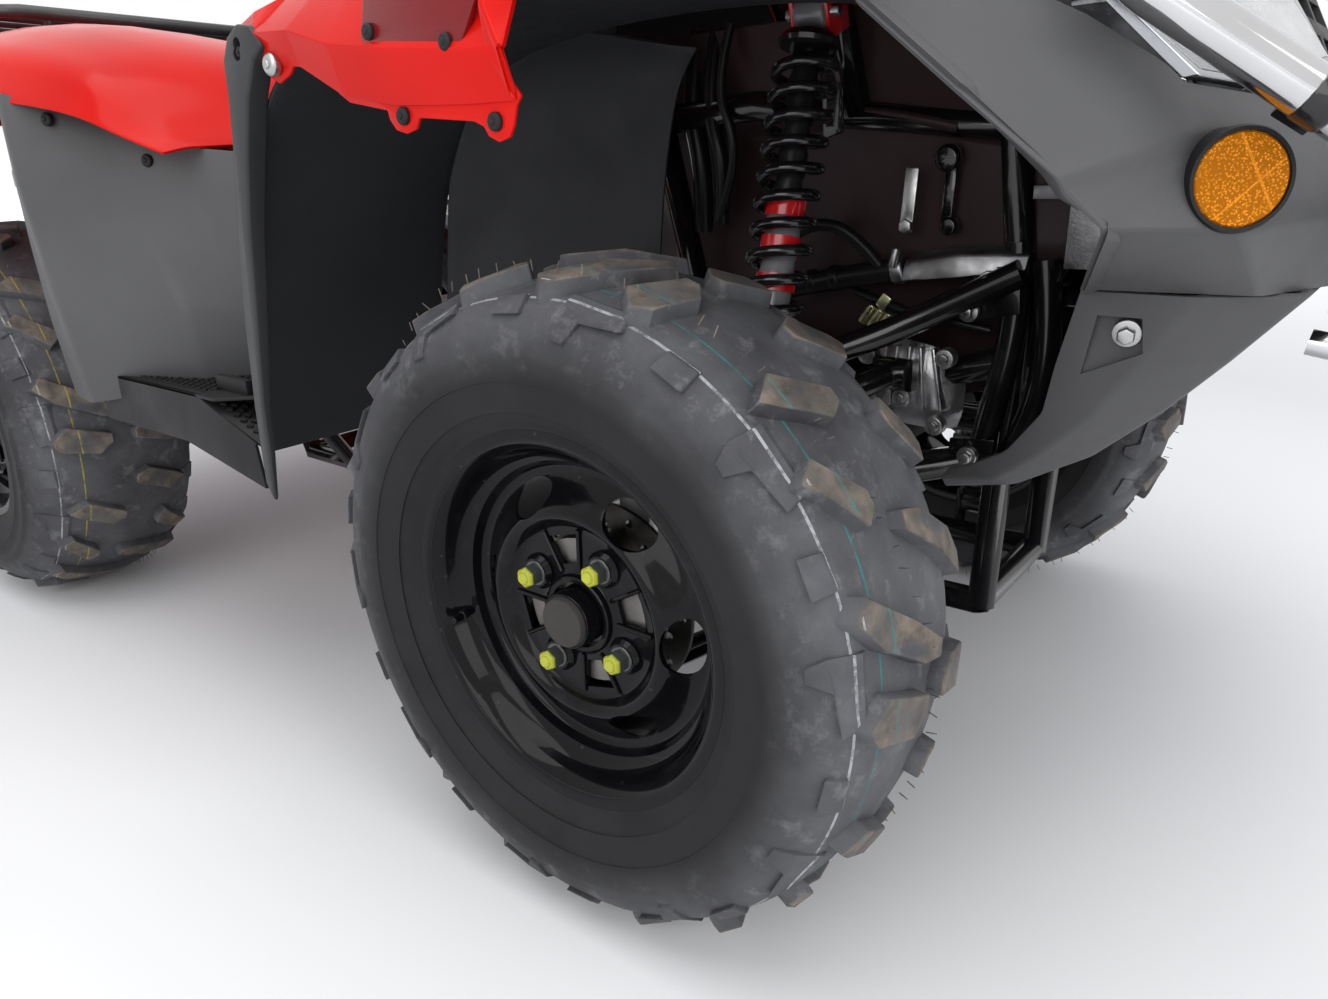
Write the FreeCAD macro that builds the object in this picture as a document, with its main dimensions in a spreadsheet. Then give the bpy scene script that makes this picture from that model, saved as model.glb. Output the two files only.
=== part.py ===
import FreeCAD, Part
import math
import os
import re

# Utility quad bike with four driven wheels, steered at the front and with a solid rear axle.
# X runs forward, Y to the left and Z up. The origin is on the floor under the middle of the machine.
# Lengths are in mm and angles in degrees.

os.makedirs("parts", exist_ok=True)
doc = FreeCAD.newDocument("QuadBike")
sheet = doc.addObject("Spreadsheet::Sheet", "Sizes")

# alias, value, what it is
SIZES = [
    ("wheelbase", 1270, "front axle to rear axle"),
    ("front_axle_x", 565.6, "front axle ahead of the origin"),
    ("tyre_radius", 300, "axle to the tips of the tyre lugs"),
    ("wheel_sides", 20, "flat stretches round a wheel, a multiple of four"),
    ("lug_height", 14, "tread lugs proud of the carcass"),
    ("front_track", 470, "middle of the machine to the middle of a front tyre"),
    ("front_tyre_width", 203, "front tyre across its bulge"),
    ("front_rim_width", 170, "front rim, lip to lip"),
    ("front_flange", 170, "radius of the front rim's lip"),
    ("rear_track", 460, "middle of the machine to the middle of a rear tyre"),
    ("rear_tyre_width", 244, "rear tyre across its bulge"),
    ("rear_rim_width", 217, "rear rim, lip to lip"),
    ("rear_flange", 157, "radius of the rear rim's lip"),
    ("sheet_wall", 4, "pressed steel of the rims"),
    ("lip_depth", 17, "lip of a rim above its well's shoulder"),
    ("seat_gap", 0.3, "gap between pieces that rest on each other"),
    ("nut_circle", 55, "radius of the circle of wheel nuts"),
    ("nut_size", 9.5, "wheel nut across its corners, halved"),
    ("nut_height", 6.4, "wheel nut proud of the wheel disc"),
    ("nut_phase", 59.8, "turn of the wheel nuts from forward"),
    ("hub_bore", 30, "radius of the hole in the middle of a wheel disc"),
    ("cap_radius", 24, "radius of the hub's end cap"),
    ("spindle_radius", 14, "front wheel's stub shaft in its knuckle"),
    ("cap_reach", 22, "hub's end cap proud of the wheel disc"),
    ("kingpin_y", 420, "middle of the machine to a steering pivot"),
    ("kingpin_radius", 9, "ball joint stud"),
    ("knuckle_rise", 92, "upper ball joint above the axle"),
    ("knuckle_drop", 80, "lower ball joint below the axle"),
    ("knuckle_arm", 65, "steering arm behind the pivot"),
    ("pitman_arm", 50, "column's arm behind the column"),
    ("column_rake", 26.2, "lean of the steering column"),
    ("column_radius", 14, "steering column tube"),
    ("column_foot_x", 80, "foot of the column ahead of the front axle"),
    ("column_foot_z", 130, "foot of the column above the axle"),
    ("column_length", 690, "foot of the column to the handlebar clamp"),
    ("tie_rod_radius", 7, "tie rod"),
    ("arm_radius", 12, "tube of the control arms"),
    ("shaft_radius", 12, "half shafts"),
    ("rear_axle_radius", 16, "rear axle"),
    ("running_gap", 5, "clearance round what turns"),
    ("coil_radius", 31, "outside of a shock absorber's spring"),
    ("wire_radius", 4.5, "wire of a shock absorber's spring"),
    ("coil_turns", 9, "turns of a front spring"),
    ("shock_x", 45, "front shock absorbers ahead of the front axle"),
    ("shock_top_y", 222, "top of a front shock absorber"),
    ("shock_top_z", 490, "top of a front shock absorber above the axle"),
    ("shock_foot_y", 305, "foot of a front shock absorber"),
    ("frame_radius", 14, "main frame tube"),
    ("stay_radius", 9, "small frame tube"),
    ("rail_y", 172, "main frame rails from the middle, at the engine"),
    ("rail_drop", 102, "middle of the lower rails below the axles"),
    ("panel_wall", 4, "moulded body panels"),
    ("rack_radius", 9, "rack tube"),
    ("rack_half_width", 410, "racks from the middle to their side rail"),
    ("front_rack_rise", 612, "front rack above the axles"),
    ("rear_rack_rise", 602, "rear rack above the axles"),
    ("bumper_radius", 14, "bumper tube"),
    ("bar_radius", 11.1, "handlebar tube"),
    ("grip_radius", 17, "rubber grips"),
    ("grip_length", 122, "rubber grips"),
    ("bar_half_width", 405, "handlebar from the middle to its end"),
    ("bar_rise", 95, "grips above the handlebar clamp"),
    ("reflector_radius", 32, "round side reflectors"),
    ("muffler_radius", 55, "exhaust silencer"),
    ("hitch_hole", 9.75, "radius of the tow ball hole"),
    ("hitch_plate", 8, "thickness of the tow plate"),
    ("board_wall", 5, "footboards"),
    ("seat_padding", 42, "foam of the seat above its seam"),
    ("fin_count", 7, "cooling fins of the cylinder"),
    ("fin_pitch", 16, "one cooling fin to the next"),
    ("fin_thick", 4, "thickness of a cooling fin"),
]

for row, (alias, value, note) in enumerate(SIZES, start=1):
    sheet.set(f"A{row}", note)
    sheet.set(f"B{row}", str(value))
    sheet.setAlias(f"B{row}", alias)
doc.recompute()

ALIASES = {alias for alias, value, note in SIZES}


class Cells:
    """Reads a size from the sheet by its alias."""

    def __getattr__(self, alias):
        return float(sheet.get(alias))


s = Cells()
SUBPARTS = []


# Places

def V(x, y, z):
    return FreeCAD.Vector(x, y, z)


def fx(x):
    """Place along the machine, given ahead of the front axle."""
    return s.front_axle_x + x


def rx(x):
    """Place along the machine, given ahead of the rear axle."""
    return s.front_axle_x - s.wheelbase + x


def mx(x):
    """Place along the machine, given ahead of the middle between the axles."""
    return s.front_axle_x - s.wheelbase / 2 + x


def up(z):
    """Height above the floor, given above the axles."""
    return s.tyre_radius + z


def front_out(y):
    """Place across the front of the machine, which widens with the track."""
    return y * s.front_track / 470


def rear_out(y):
    """Place across the rear of the machine, which widens with the track."""
    return y * s.rear_track / 460


# Document objects, bound to the sheet

def bound(formula):
    """The formula with each alias given its sheet."""
    return re.sub(r"[a-z_]+", lambda word: "Sizes." + word[0] if word[0] in ALIASES else word[0], formula)


def bind(item, formulas):
    for prop, formula in formulas.items():
        item.setExpression(prop, bound(formula))
    return item


def block(name, length, width, height, x, y, z):
    """Box centred on x and y and standing on z, each given as a formula."""
    item = doc.addObject("Part::Box", name)
    return bind(item, {
        "Length": length, "Width": width, "Height": height,
        "Placement.Base.x": f"{x} - ({length}) / 2",
        "Placement.Base.y": f"{y} - ({width}) / 2",
        "Placement.Base.z": z})


def rod(name, radius, length, x, y, z, direction):
    """Round bar from x, y, z along a direction, its sizes and place given as formulas."""
    item = doc.addObject("Part::Cylinder", name)
    item.Placement = FreeCAD.Placement(V(0, 0, 0), FreeCAD.Rotation(V(0, 0, 1), direction))
    return bind(item, {
        "Radius": radius, "Height": length,
        "Placement.Base.x": x, "Placement.Base.y": y, "Placement.Base.z": z})


def prism_bar(name, sides, radius, length, x, y, z, direction):
    """Bar with a regular polygon as its section, its sizes and place given as formulas."""
    item = doc.addObject("Part::Prism", name)
    item.Polygon = sides
    item.Placement = FreeCAD.Placement(V(0, 0, 0), FreeCAD.Rotation(V(0, 0, 1), direction))
    return bind(item, {
        "Circumradius": radius, "Height": length,
        "Placement.Base.x": x, "Placement.Base.y": y, "Placement.Base.z": z})


def fused(name, items):
    item = doc.addObject("Part::MultiFuse", name)
    item.Shapes = items
    return item


def cut(name, base, tool):
    item = doc.addObject("Part::Cut", name)
    item.Base = base
    item.Tool = tool
    return item


def feature(name, shape):
    item = doc.addObject("Part::Feature", name)
    item.Shape = shape
    item.Placement = FreeCAD.Placement()
    return item


def mirrored(name, source):
    """The same piece on the left side."""
    item = doc.addObject("Part::Mirroring", name)
    item.Source = source
    item.Normal = V(0, 1, 0)
    return item


def pair(name, right):
    """A piece of the right side and the same piece on the left side, as one sub-part."""
    item = doc.addObject("Part::Compound", name)
    item.Links = [right, mirrored(name + "_mirror", right)]
    return item


def compound(name, items):
    """Pieces of one sub-part that don't touch."""
    item = doc.addObject("Part::Compound", name)
    item.Links = items
    return item


def subpart(label, item):
    item.Label = label
    SUBPARTS.append(item)
    return item


# Shapes that the sheet's sizes are worked into in code

def lathe(profile, sides, centre):
    """Turned piece about an axis along Y, with flat stretches round it.

    profile is a closed loop of (y, radius), and radius 0 is a point on the axis.
    """
    faces = []
    turns = [2 * math.pi * (step + 0.5) / sides for step in range(sides + 1)]

    def place(y, radius, turn):
        return V(centre.x + radius * math.cos(turn), centre.y + y, centre.z + radius * math.sin(turn))

    for (y_one, r_one), (y_two, r_two) in zip(profile, profile[1:] + profile[:1]):
        if r_one == 0 and r_two == 0:
            continue
        for turn_one, turn_two in zip(turns, turns[1:]):
            corners = [place(y_one, r_one, turn_one), place(y_two, r_two, turn_one)]
            if r_two > 0:
                corners.append(place(y_two, r_two, turn_two))
            if r_one > 0:
                corners.append(place(y_one, r_one, turn_two))
            faces.append(Part.Face(Part.makePolygon(corners + corners[:1])))
    solid = Part.Solid(Part.Shell(faces))
    if solid.Volume < 0:
        solid.reverse()
    return solid


def corner_reach(radius, sides):
    """Middle to a corner of a regular polygon whose flats lie at the radius."""
    return radius / math.cos(math.pi / sides)


def ring_corners(radius, middle, direction, sides):
    """Corners of a regular polygon across a direction, its flats at the radius."""
    turn = FreeCAD.Rotation(V(0, 0, 1), direction)
    far = corner_reach(radius, sides)
    steps = [2 * math.pi * step / sides for step in range(sides)]
    return [middle + turn.multVec(V(far * math.cos(step), far * math.sin(step), 0)) for step in steps]


def ring_section(radius, middle, direction, sides):
    corners = ring_corners(radius, middle, direction, sides)
    return Part.makePolygon(corners + corners[:1])


def bar(radius, length, base, direction, sides=12):
    """Bar from a base point along a direction, with flat stretches round it."""
    way = V(direction.x, direction.y, direction.z).normalize()
    return Part.Face(ring_section(radius, base, way, sides)).extrude(way * length)


def taper(radius_one, radius_two, length, base, direction, sides=12):
    """Bar that tapers from one radius to another."""
    way = V(direction.x, direction.y, direction.z).normalize()
    ends = [ring_corners(radius_one, base, way, sides), ring_corners(radius_two, base + way * length, way, sides)]
    faces = [Part.Face(Part.makePolygon(end + end[:1])) for end in ends]
    for index in range(sides):
        after = (index + 1) % sides
        corners = [ends[0][index], ends[0][after], ends[1][after], ends[1][index], ends[0][index]]
        faces.append(Part.Face(Part.makePolygon(corners)))
    solid = Part.Solid(Part.Shell(faces))
    if solid.Volume < 0:
        solid.reverse()
    return solid


def tube(points, radius, sides=8):
    """Tube along straight runs with mitred corners, with flat stretches round it."""
    path = Part.makePolygon(points)
    section = ring_section(radius, points[0], points[1] - points[0], sides)
    sweep = Part.BRepOffsetAPI.MakePipeShell(path)
    sweep.add(section)
    sweep.setTransitionMode(1)
    sweep.build()
    sweep.makeSolid()
    return sweep.shape()


def rounded(points, bend, steps=3):
    """Path with each corner between straight runs cut into short ones along an arc."""
    path = [points[0]]
    for before, corner, after in zip(points, points[1:], points[2:]):
        into = (corner - before).normalize()
        out = (after - corner).normalize()
        turn = into.getAngle(out)
        reach = bend * math.tan(turn / 2)
        centre = corner + (out - into).normalize() * (bend / math.cos(turn / 2))
        axis = into.cross(out).normalize()
        arm = corner - into * reach - centre
        for step in range(steps + 1):
            part_turn = FreeCAD.Rotation(axis, math.degrees(turn) * step / steps)
            path.append(centre + part_turn.multVec(arm))
    return path + [points[-1]]


def joined(shapes):
    """One solid from shapes that overlap."""
    return shapes[0].fuse(shapes[1:]).removeSplitter() if len(shapes) > 1 else shapes[0]


def mirror_shape(shape):
    return shape.mirror(V(0, 0, 0), V(0, 1, 0))


def prism(outline, start, run):
    """Flat outline of points pushed along a vector."""
    points = [point + start for point in outline]
    return Part.Face(Part.makePolygon(points + points[:1])).extrude(run)


def inset(points, wall):
    """Points of an open line moved sideways by a wall, to its right when walking along it."""
    moved = []
    for index, (a, b) in enumerate(points):
        before = points[max(index - 1, 0)]
        after = points[min(index + 1, len(points) - 1)]
        into = FreeCAD.Vector(a - before[0], b - before[1], 0)
        out = FreeCAD.Vector(after[0] - a, after[1] - b, 0)
        into = out if into.Length == 0 else into
        out = into if out.Length == 0 else out
        into.normalize()
        out.normalize()
        across = FreeCAD.Vector(into.y + out.y, -into.x - out.x, 0).normalize()
        share = across.x * into.y - across.y * into.x
        moved.append((a + across.x * wall / share, b + across.y * wall / share))
    return moved


def patches(rows, others, closed=False):
    """Triangles between successive rows, each patch cut on the shorter of its diagonals in rows.

    others gives the points to use: rows itself, or the rows of the panel's other wall.
    """
    faces = []
    for one, two, from_one, from_two in zip(rows, rows[1:], others, others[1:]):
        count = len(one)
        for index in range(count if closed else count - 1):
            after = (index + 1) % count
            a, b, c, d = from_one[index], from_one[after], from_two[after], from_two[index]
            if (one[index] - two[after]).Length < (one[after] - two[index]).Length - 0.01:
                halves = [[a, b, c], [a, c, d]]
            else:
                halves = [[a, b, d], [b, c, d]]
            faces += [Part.Face(Part.makePolygon(half + half[:1])) for half in halves]
    return faces


def closed_by(faces):
    """Solid inside a closed set of flat faces."""
    shell = Part.Shell(faces)
    solid = Part.Solid(shell)
    if solid.Volume < 0:
        solid.reverse()
    return solid.removeSplitter()


def skin(stations, wall, at):
    """Thin panel of flat facets through open lines, its wall to the right of each line.

    at turns a station's place and a point of its line into a vector.
    """
    outer = [[at(place, a, b) for a, b in line] for place, line in stations]
    inner = [[at(place, a, b) for a, b in inset(line, wall)] for place, line in stations]
    faces = patches(outer, outer) + patches(outer, inner)
    for end in (0, -1):
        edges = [[row[end] for row in outer], [row[end] for row in inner]]
        faces += patches(edges, edges)
        ends = [outer[end], inner[end]]
        faces += patches(ends, ends)
    return closed_by(faces)


def closed_loft(stations, at):
    """Solid of flat facets through closed outlines, one at each station."""
    rows = [[at(place, a, b) for a, b in line] for place, line in stations]
    caps = [Part.Face(Part.makePolygon(row + row[:1])) for row in (rows[0], rows[-1])]
    return closed_by(patches(rows, rows, True) + caps)


def both_ways(half):
    """Full line across the machine from its right half, given from the outside inwards."""
    inner = [(-y, other) for y, other in half]
    outer = [(y, other) for y, other in reversed(half) if y > 0]
    return inner + outer


# Wheels

def rim_profile(flange, width, dish, disc_bore):
    """Pressed steel wheel as (depth inboard of the outer lip, radius).

    dish is how far in the disc's nut face lies.
    """
    seat = flange - s.lip_depth
    well = seat - 25
    wall = s.sheet_wall
    crest = seat - 62
    outside = [(0, flange), (6, seat + 1), (dish + 10, well)]
    disc_front = [(dish + 6, well - 20), (dish - 12, crest), (dish, crest - 12), (dish, disc_bore)]
    disc_back = [(dish + wall, disc_bore), (dish + wall, crest - 10), (dish - 12 + 1.4 * wall, crest + 1),
                 (dish + 10 + 1.3 * wall, well - 4)]
    inside = [(width - 36, well), (width - 6, seat + 1), (width, flange)]
    tyre_side = [(width - wall, flange), (width - 10, seat + wall), (width - 36, well + wall),
                 (dish + 12, well + wall), (10, seat + wall), (wall, flange)]
    return outside + disc_front + disc_back + inside + tyre_side


def tyre_profile(radius, width, flange, rim_width):
    """Tyre as (place across from its middle, radius), seated between the rim's lips."""
    seat = flange - s.lip_depth
    bead = rim_width / 2 - s.sheet_wall - s.seat_gap
    foot = seat + s.sheet_wall + s.seat_gap
    height = radius - flange
    half = [(bead - 7, foot), (bead - 0.5, flange + 2), (width * 0.5, flange + height * 0.4),
            (width * 0.46, radius - 22), (width * 0.3, radius)]
    return half + [(-y, r) for y, r in reversed(half)]


def side_profile(profile, side, lip_y):
    """A profile given inboard of the lip, turned to the machine's Y on the side +1 or -1."""
    return [(side * (lip_y - depth), radius) for depth, radius in profile]


SIDES = {"right": -1, "left": 1}
FRONT_DISH = 34
REAR_DISH = 60
wheel_sides = int(s.wheel_sides)
front_centre = V(s.front_axle_x, 0, s.tyre_radius)
rear_centre = V(rx(0), 0, s.tyre_radius)
front_lip_y = s.front_track + s.front_rim_width / 2
rear_lip_y = s.rear_track + s.rear_rim_width / 2


def front_rim(side):
    profile = rim_profile(s.front_flange, s.front_rim_width, FRONT_DISH, s.hub_bore)
    return lathe(side_profile(profile, side, front_lip_y), wheel_sides, front_centre)


# on every second flat round the tyre: share of the half width from a lug's shoulder end to its inner end
LUG_ENDS = [(0.83, 0.05), (0.83, 0.32)]
# degrees from the middle of the flat: shoulder end, then inner end
LUG_TURNS = [(-8.2, -4.2), (-3.9, -0.5)]


def tread_lug(count, half, width, centre):
    """One block of the tread, sloping down to the shoulder, on the outer half (-1) or the inner half (1)."""
    flat = FreeCAD.Rotation(V(0, 1, 0), count * 360 / wheel_sides)
    carcass = s.tyre_radius - s.lug_height
    rows = []
    for share, turns, foot, top in zip(LUG_ENDS[count % 2], LUG_TURNS, (carcass - 24, carcass - 4),
                                       (s.tyre_radius - 9, s.tyre_radius)):
        along = [-half * s.tyre_radius * math.tan(math.radians(turn)) for turn in turns]
        across = half * share * width / 2
        rows.append([[V(x, across, height) for x in along] for height in (foot, top)])
    (foot_one, top_one), (foot_two, top_two) = rows
    loops = [foot_one + foot_two[::-1], top_one + top_two[::-1], foot_one + top_one[::-1], foot_two + top_two[::-1],
             [foot_one[0], foot_two[0], top_two[0], top_one[0]], [foot_one[1], foot_two[1], top_two[1], top_one[1]]]
    faces = []
    for loop in loops:
        corners = [centre + flat.multVec(corner) for corner in loop]
        faces.append(Part.Face(Part.makePolygon(corners + corners[:1])))
    solid = Part.Solid(Part.Shell(faces))
    if solid.Volume < 0:
        solid.reverse()
    return solid


def lugged(profile, middle_y, width, centre):
    """Carcass with the blocks of its tread."""
    carcass = lathe([(middle_y + y, r) for y, r in profile], wheel_sides, centre)
    middle = centre + V(0, middle_y, 0)
    lugs = [tread_lug(count, half, width, middle) for count in range(wheel_sides) for half in (-1, 1)]
    return carcass.fuse(lugs)


def front_tyre():
    profile = tyre_profile((s.tyre_radius - s.lug_height) / math.cos(math.pi / wheel_sides), s.front_tyre_width,
                           s.front_flange, s.front_rim_width)
    return lugged(profile, -s.front_track, s.front_tyre_width, front_centre)


def nut_ring(side, lip_y, dish, centre):
    """Four hexagon nuts on the wheel disc."""
    nuts = []
    for count in range(4):
        turn = math.radians(s.nut_phase + 90 * count)
        middle = centre + V(s.nut_circle * math.cos(turn), side * (lip_y - dish + s.nut_height),
                            s.nut_circle * math.sin(turn))
        ring = [middle + V(s.nut_size * math.cos(step * math.pi / 3), 0, s.nut_size * math.sin(step * math.pi / 3))
                for step in range(6)]
        nuts.append(prism(ring, V(0, 0, 0), V(0, -side * (s.nut_height - s.seat_gap), 0)))
    return nuts


def hub(side, lip_y, dish, centre, inner_y):
    """Hub with its end cap, flange and brake disc, turned in one profile."""
    face = dish + s.sheet_wall
    reach = lip_y - inner_y
    profile = [(dish - s.cap_reach, 0), (dish - s.cap_reach, s.cap_radius - 3), (dish - s.cap_reach + 3, s.cap_radius),
               (dish - 7, s.cap_radius), (dish - 5, s.hub_bore - 1), (face + s.seat_gap, s.hub_bore - 1),
               (face + s.seat_gap, 72), (face + 12, 72), (face + 12, 36), (reach - 14, 36), (reach - 14, 92),
               (reach - 10, 92), (reach - 10, 27), (reach, 27),
               (reach, s.spindle_radius), (reach + 16, s.spindle_radius), (reach + 16, 0)]
    return lathe(side_profile(profile, side, lip_y), 12, centre)


right_tyre = feature("tyre_right", front_tyre())
front_tyres = {"right": right_tyre, "left": mirrored("tyre_left", right_tyre)}

for side_name, side in SIDES.items():
    subpart(f"front_rim_{side_name}", feature(f"rim_{side_name}", front_rim(side)))
    subpart(f"front_tyre_{side_name}", front_tyres[side_name])
    nuts = nut_ring(side, front_lip_y, FRONT_DISH, front_centre)
    hub_shape = hub(side, front_lip_y, FRONT_DISH, front_centre, s.kingpin_y + 32)
    subpart(f"front_hub_{side_name}", feature(f"hub_{side_name}", Part.makeCompound([hub_shape] + nuts)))


def rear_rim():
    profile = rim_profile(s.rear_flange, s.rear_rim_width, REAR_DISH, s.hub_bore)
    return lathe(side_profile(profile, -1, rear_lip_y), wheel_sides, rear_centre)


def rear_tyre():
    profile = tyre_profile((s.tyre_radius - s.lug_height) / math.cos(math.pi / wheel_sides), s.rear_tyre_width,
                           s.rear_flange, s.rear_rim_width)
    return lugged(profile, -s.rear_track, s.rear_tyre_width, rear_centre)


subpart("rear_rims", pair("rear_rims", feature("rear_rim", rear_rim())))
subpart("rear_tyres", pair("rear_tyres", feature("rear_tyre", rear_tyre())))


def rear_hub():
    """Rear hub with its cap and flange, keyed on the axle's end."""
    face = REAR_DISH + s.sheet_wall
    profile = [(REAR_DISH - s.cap_reach, 0), (REAR_DISH - s.cap_reach, s.cap_radius - 3),
               (REAR_DISH - s.cap_reach + 3, s.cap_radius), (REAR_DISH - 7, s.cap_radius),
               (REAR_DISH - 5, s.hub_bore - 1), (face + s.seat_gap, s.hub_bore - 1), (face + s.seat_gap, 72),
               (face + 12, 72), (face + 12, 32), (face + 60, 32), (face + 60, 0)]
    return lathe(side_profile(profile, -1, rear_lip_y), 16, rear_centre)


rear_hub_right = feature("rear_hub", rear_hub())
rear_nuts = feature("rear_nuts", Part.makeCompound(nut_ring(-1, rear_lip_y, REAR_DISH, rear_centre)))
axle_bar = prism_bar("axle_bar", 16, "rear_axle_radius", "2 * rear_track", "front_axle_x - wheelbase",
                     "-rear_track", "tyre_radius", V(0, 1, 0))
axle_with_hubs = fused("axle_with_hubs", [rear_hub_right, mirrored("rear_hub_left", rear_hub_right), axle_bar])
subpart("rear_axle", compound("rear_axle", [axle_with_hubs, rear_nuts, mirrored("rear_nuts_left", rear_nuts)]))


# Steering knuckles and the arms that carry them

KNUCKLE_EYE = 22
EYE_HEIGHT = 16


def knuckle(side):
    """Upright with an eye at each end, a bearing housing and a steering arm behind."""
    x = s.front_axle_x
    y = side * s.kingpin_y
    top = up(s.knuckle_rise)
    foot = up(-s.knuckle_drop)
    bore = s.kingpin_radius / math.cos(math.pi / 12) + s.seat_gap
    upper = bar(KNUCKLE_EYE, EYE_HEIGHT, V(x, y, top - EYE_HEIGHT), V(0, 0, 1))
    lower = bar(KNUCKLE_EYE, EYE_HEIGHT, V(x, y, foot), V(0, 0, 1))
    web = Part.makeBox(34, 26, top - foot, V(x - 17, y - 13 + side * 12, foot))
    housing = bar(42, 44, V(x, y - side * 16, s.tyre_radius), V(0, side, 0))
    arm_z = up(44)
    arm = prism([V(14, 6, 0), V(14, -24, 0), V(-s.knuckle_arm, -14, 0), V(-s.knuckle_arm - 12, 0, 0),
                 V(-s.knuckle_arm, 14, 0), V(-14, 12, 0)], V(x, y, arm_z - 12), V(0, 0, 12))
    body = joined([upper, lower, web, housing, arm])
    upper_bore = bar(bore, EYE_HEIGHT + 8, V(x, y, top - EYE_HEIGHT - 4), V(0, 0, 1))
    lower_bore = bar(bore, EYE_HEIGHT + 8, V(x, y, foot - 4), V(0, 0, 1))
    shaft_room = bar(31, 30, V(x, y - side * 17, s.tyre_radius), V(0, side, 0))
    spindle_reach = corner_reach(s.spindle_radius, 12) + s.seat_gap
    spindle_room = bar(spindle_reach, 50, V(x, y, s.tyre_radius), V(0, side, 0))
    return body.cut([upper_bore, lower_bore, shaft_room, spindle_room])


def control_arm(side, pivot_half, pivot_y, pivot_z, ball_z, stud_way):
    """One wishbone: two legs from its frame pivots to the ball joint, with its stud."""
    ball = V(s.front_axle_x, side * s.kingpin_y, ball_z)
    legs = []
    for end in (-1, 1):
        pivot = V(fx(end * pivot_half), side * pivot_y, pivot_z)
        inner = ball + V(end * 8, -side * 14, 0)
        legs.append(tube([pivot, inner], s.arm_radius))
        legs.append(bar(s.arm_radius + 5, 34, pivot - V(17, 0, 0), V(1, 0, 0)))
    cup = bar(20, 18, ball - V(0, 0, 9), V(0, 0, 1))
    stud = bar(s.kingpin_radius, EYE_HEIGHT + 13, ball, V(0, 0, stud_way))
    return joined(legs + [cup, stud])


UPPER_PIVOT_X = 105
LOWER_PIVOT_X = 125
UPPER_PIVOT_Y = 132
LOWER_PIVOT_Y = 118
UPPER_PIVOT_Z = 150
LOWER_PIVOT_Z = -62


def ball_rise():
    """Middle of an arm's end beyond the knuckle's eye."""
    return corner_reach(s.arm_radius, 8) + s.seat_gap + 0.3


def upper_leg_at(y):
    """Place ahead of the axle and height of the upper arm's front leg, at a distance across."""
    share = (y - UPPER_PIVOT_Y) / (s.kingpin_y - 14 - UPPER_PIVOT_Y)
    ball_z = up(s.knuckle_rise) + ball_rise()
    return UPPER_PIVOT_X + (8 - UPPER_PIVOT_X) * share, up(UPPER_PIVOT_Z) + (ball_z - up(UPPER_PIVOT_Z)) * share


SHOCK_PAD = 14.5


def wishbones(side):
    """Upper and lower arm of one wheel, the upper one with the shock absorber's seat."""
    upper = control_arm(side, UPPER_PIVOT_X, UPPER_PIVOT_Y, up(UPPER_PIVOT_Z), up(s.knuckle_rise) + ball_rise(), -1)
    lower = control_arm(side, LOWER_PIVOT_X, LOWER_PIVOT_Y, up(LOWER_PIVOT_Z), up(-s.knuckle_drop) - ball_rise(), 1)
    leg_x, leg_z = upper_leg_at(s.shock_foot_y)
    seat = Part.makeBox(s.shock_x - leg_x + 28, 28, SHOCK_PAD + 2,
                        V(fx(leg_x) - 12, side * s.shock_foot_y - 14, leg_z - 2))
    return [upper.fuse(seat), lower]


for side_name, side in SIDES.items():
    subpart(f"knuckle_{side_name}", feature(f"knuckle_{side_name}", knuckle(side)))
    subpart(f"control_arms_{side_name}",
            feature(f"control_arms_{side_name}", Part.makeCompound(wishbones(side))))


# Front differential and its half shafts

DIFF_Z = 0
BOOT_RADIUS = 32


def rail_top():
    """Top of the lower frame rails above the floor."""
    return up(-s.rail_drop) + corner_reach(s.frame_radius, 8)


def front_differential():
    """Casting with a nose to the rear, a side cover and four lugs."""
    middle = V(s.front_axle_x, 0, up(DIFF_Z))
    case = lathe([(-84, 0), (-84, 34), (-58, 40), (-44, 58), (-12, 63), (40, 60), (58, 40), (84, 34), (84, 0)],
                 12, middle)
    nose = bar(34, 150, middle + V(-30, 12, 0), V(-1, 0, 0))
    rest_z = rail_top() + s.seat_gap
    feet = [Part.makeBox(32, 66, up(-40) - rest_z, V(s.front_axle_x - 16, y, rest_z)) for y in (-112, 46)]
    return joined([case, nose] + feet)


def half_shaft():
    """Right half shaft with a rubber boot at each end, from the differential to the knuckle."""
    inner = V(s.front_axle_x, -84 - s.seat_gap, up(DIFF_Z))
    outer = V(s.front_axle_x, -s.kingpin_y + 54, up(0))
    way = outer - inner
    length = way.Length
    way.normalize()
    shaft = bar(s.shaft_radius, length, inner, way)
    inner_boot = taper(BOOT_RADIUS, 18, 70, inner, way)
    outer_boot = taper(17, 28, 56, outer - way * 56, way)
    return joined([shaft, inner_boot, outer_boot])


subpart("front_differential", feature("differential", front_differential()))
subpart("half_shafts", pair("half_shafts", feature("half_shaft", half_shaft())))


# Front shock absorbers

SHOCK_EYE = 15


def shock_ends():
    top = V(fx(s.shock_x), -s.shock_top_y, up(s.shock_top_z))
    leg_x, leg_z = upper_leg_at(s.shock_foot_y)
    foot = V(fx(s.shock_x), -s.shock_foot_y, leg_z + SHOCK_PAD + corner_reach(SHOCK_EYE, 10) + s.seat_gap)
    way = (top - foot).normalize()
    return top, foot, way


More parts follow.
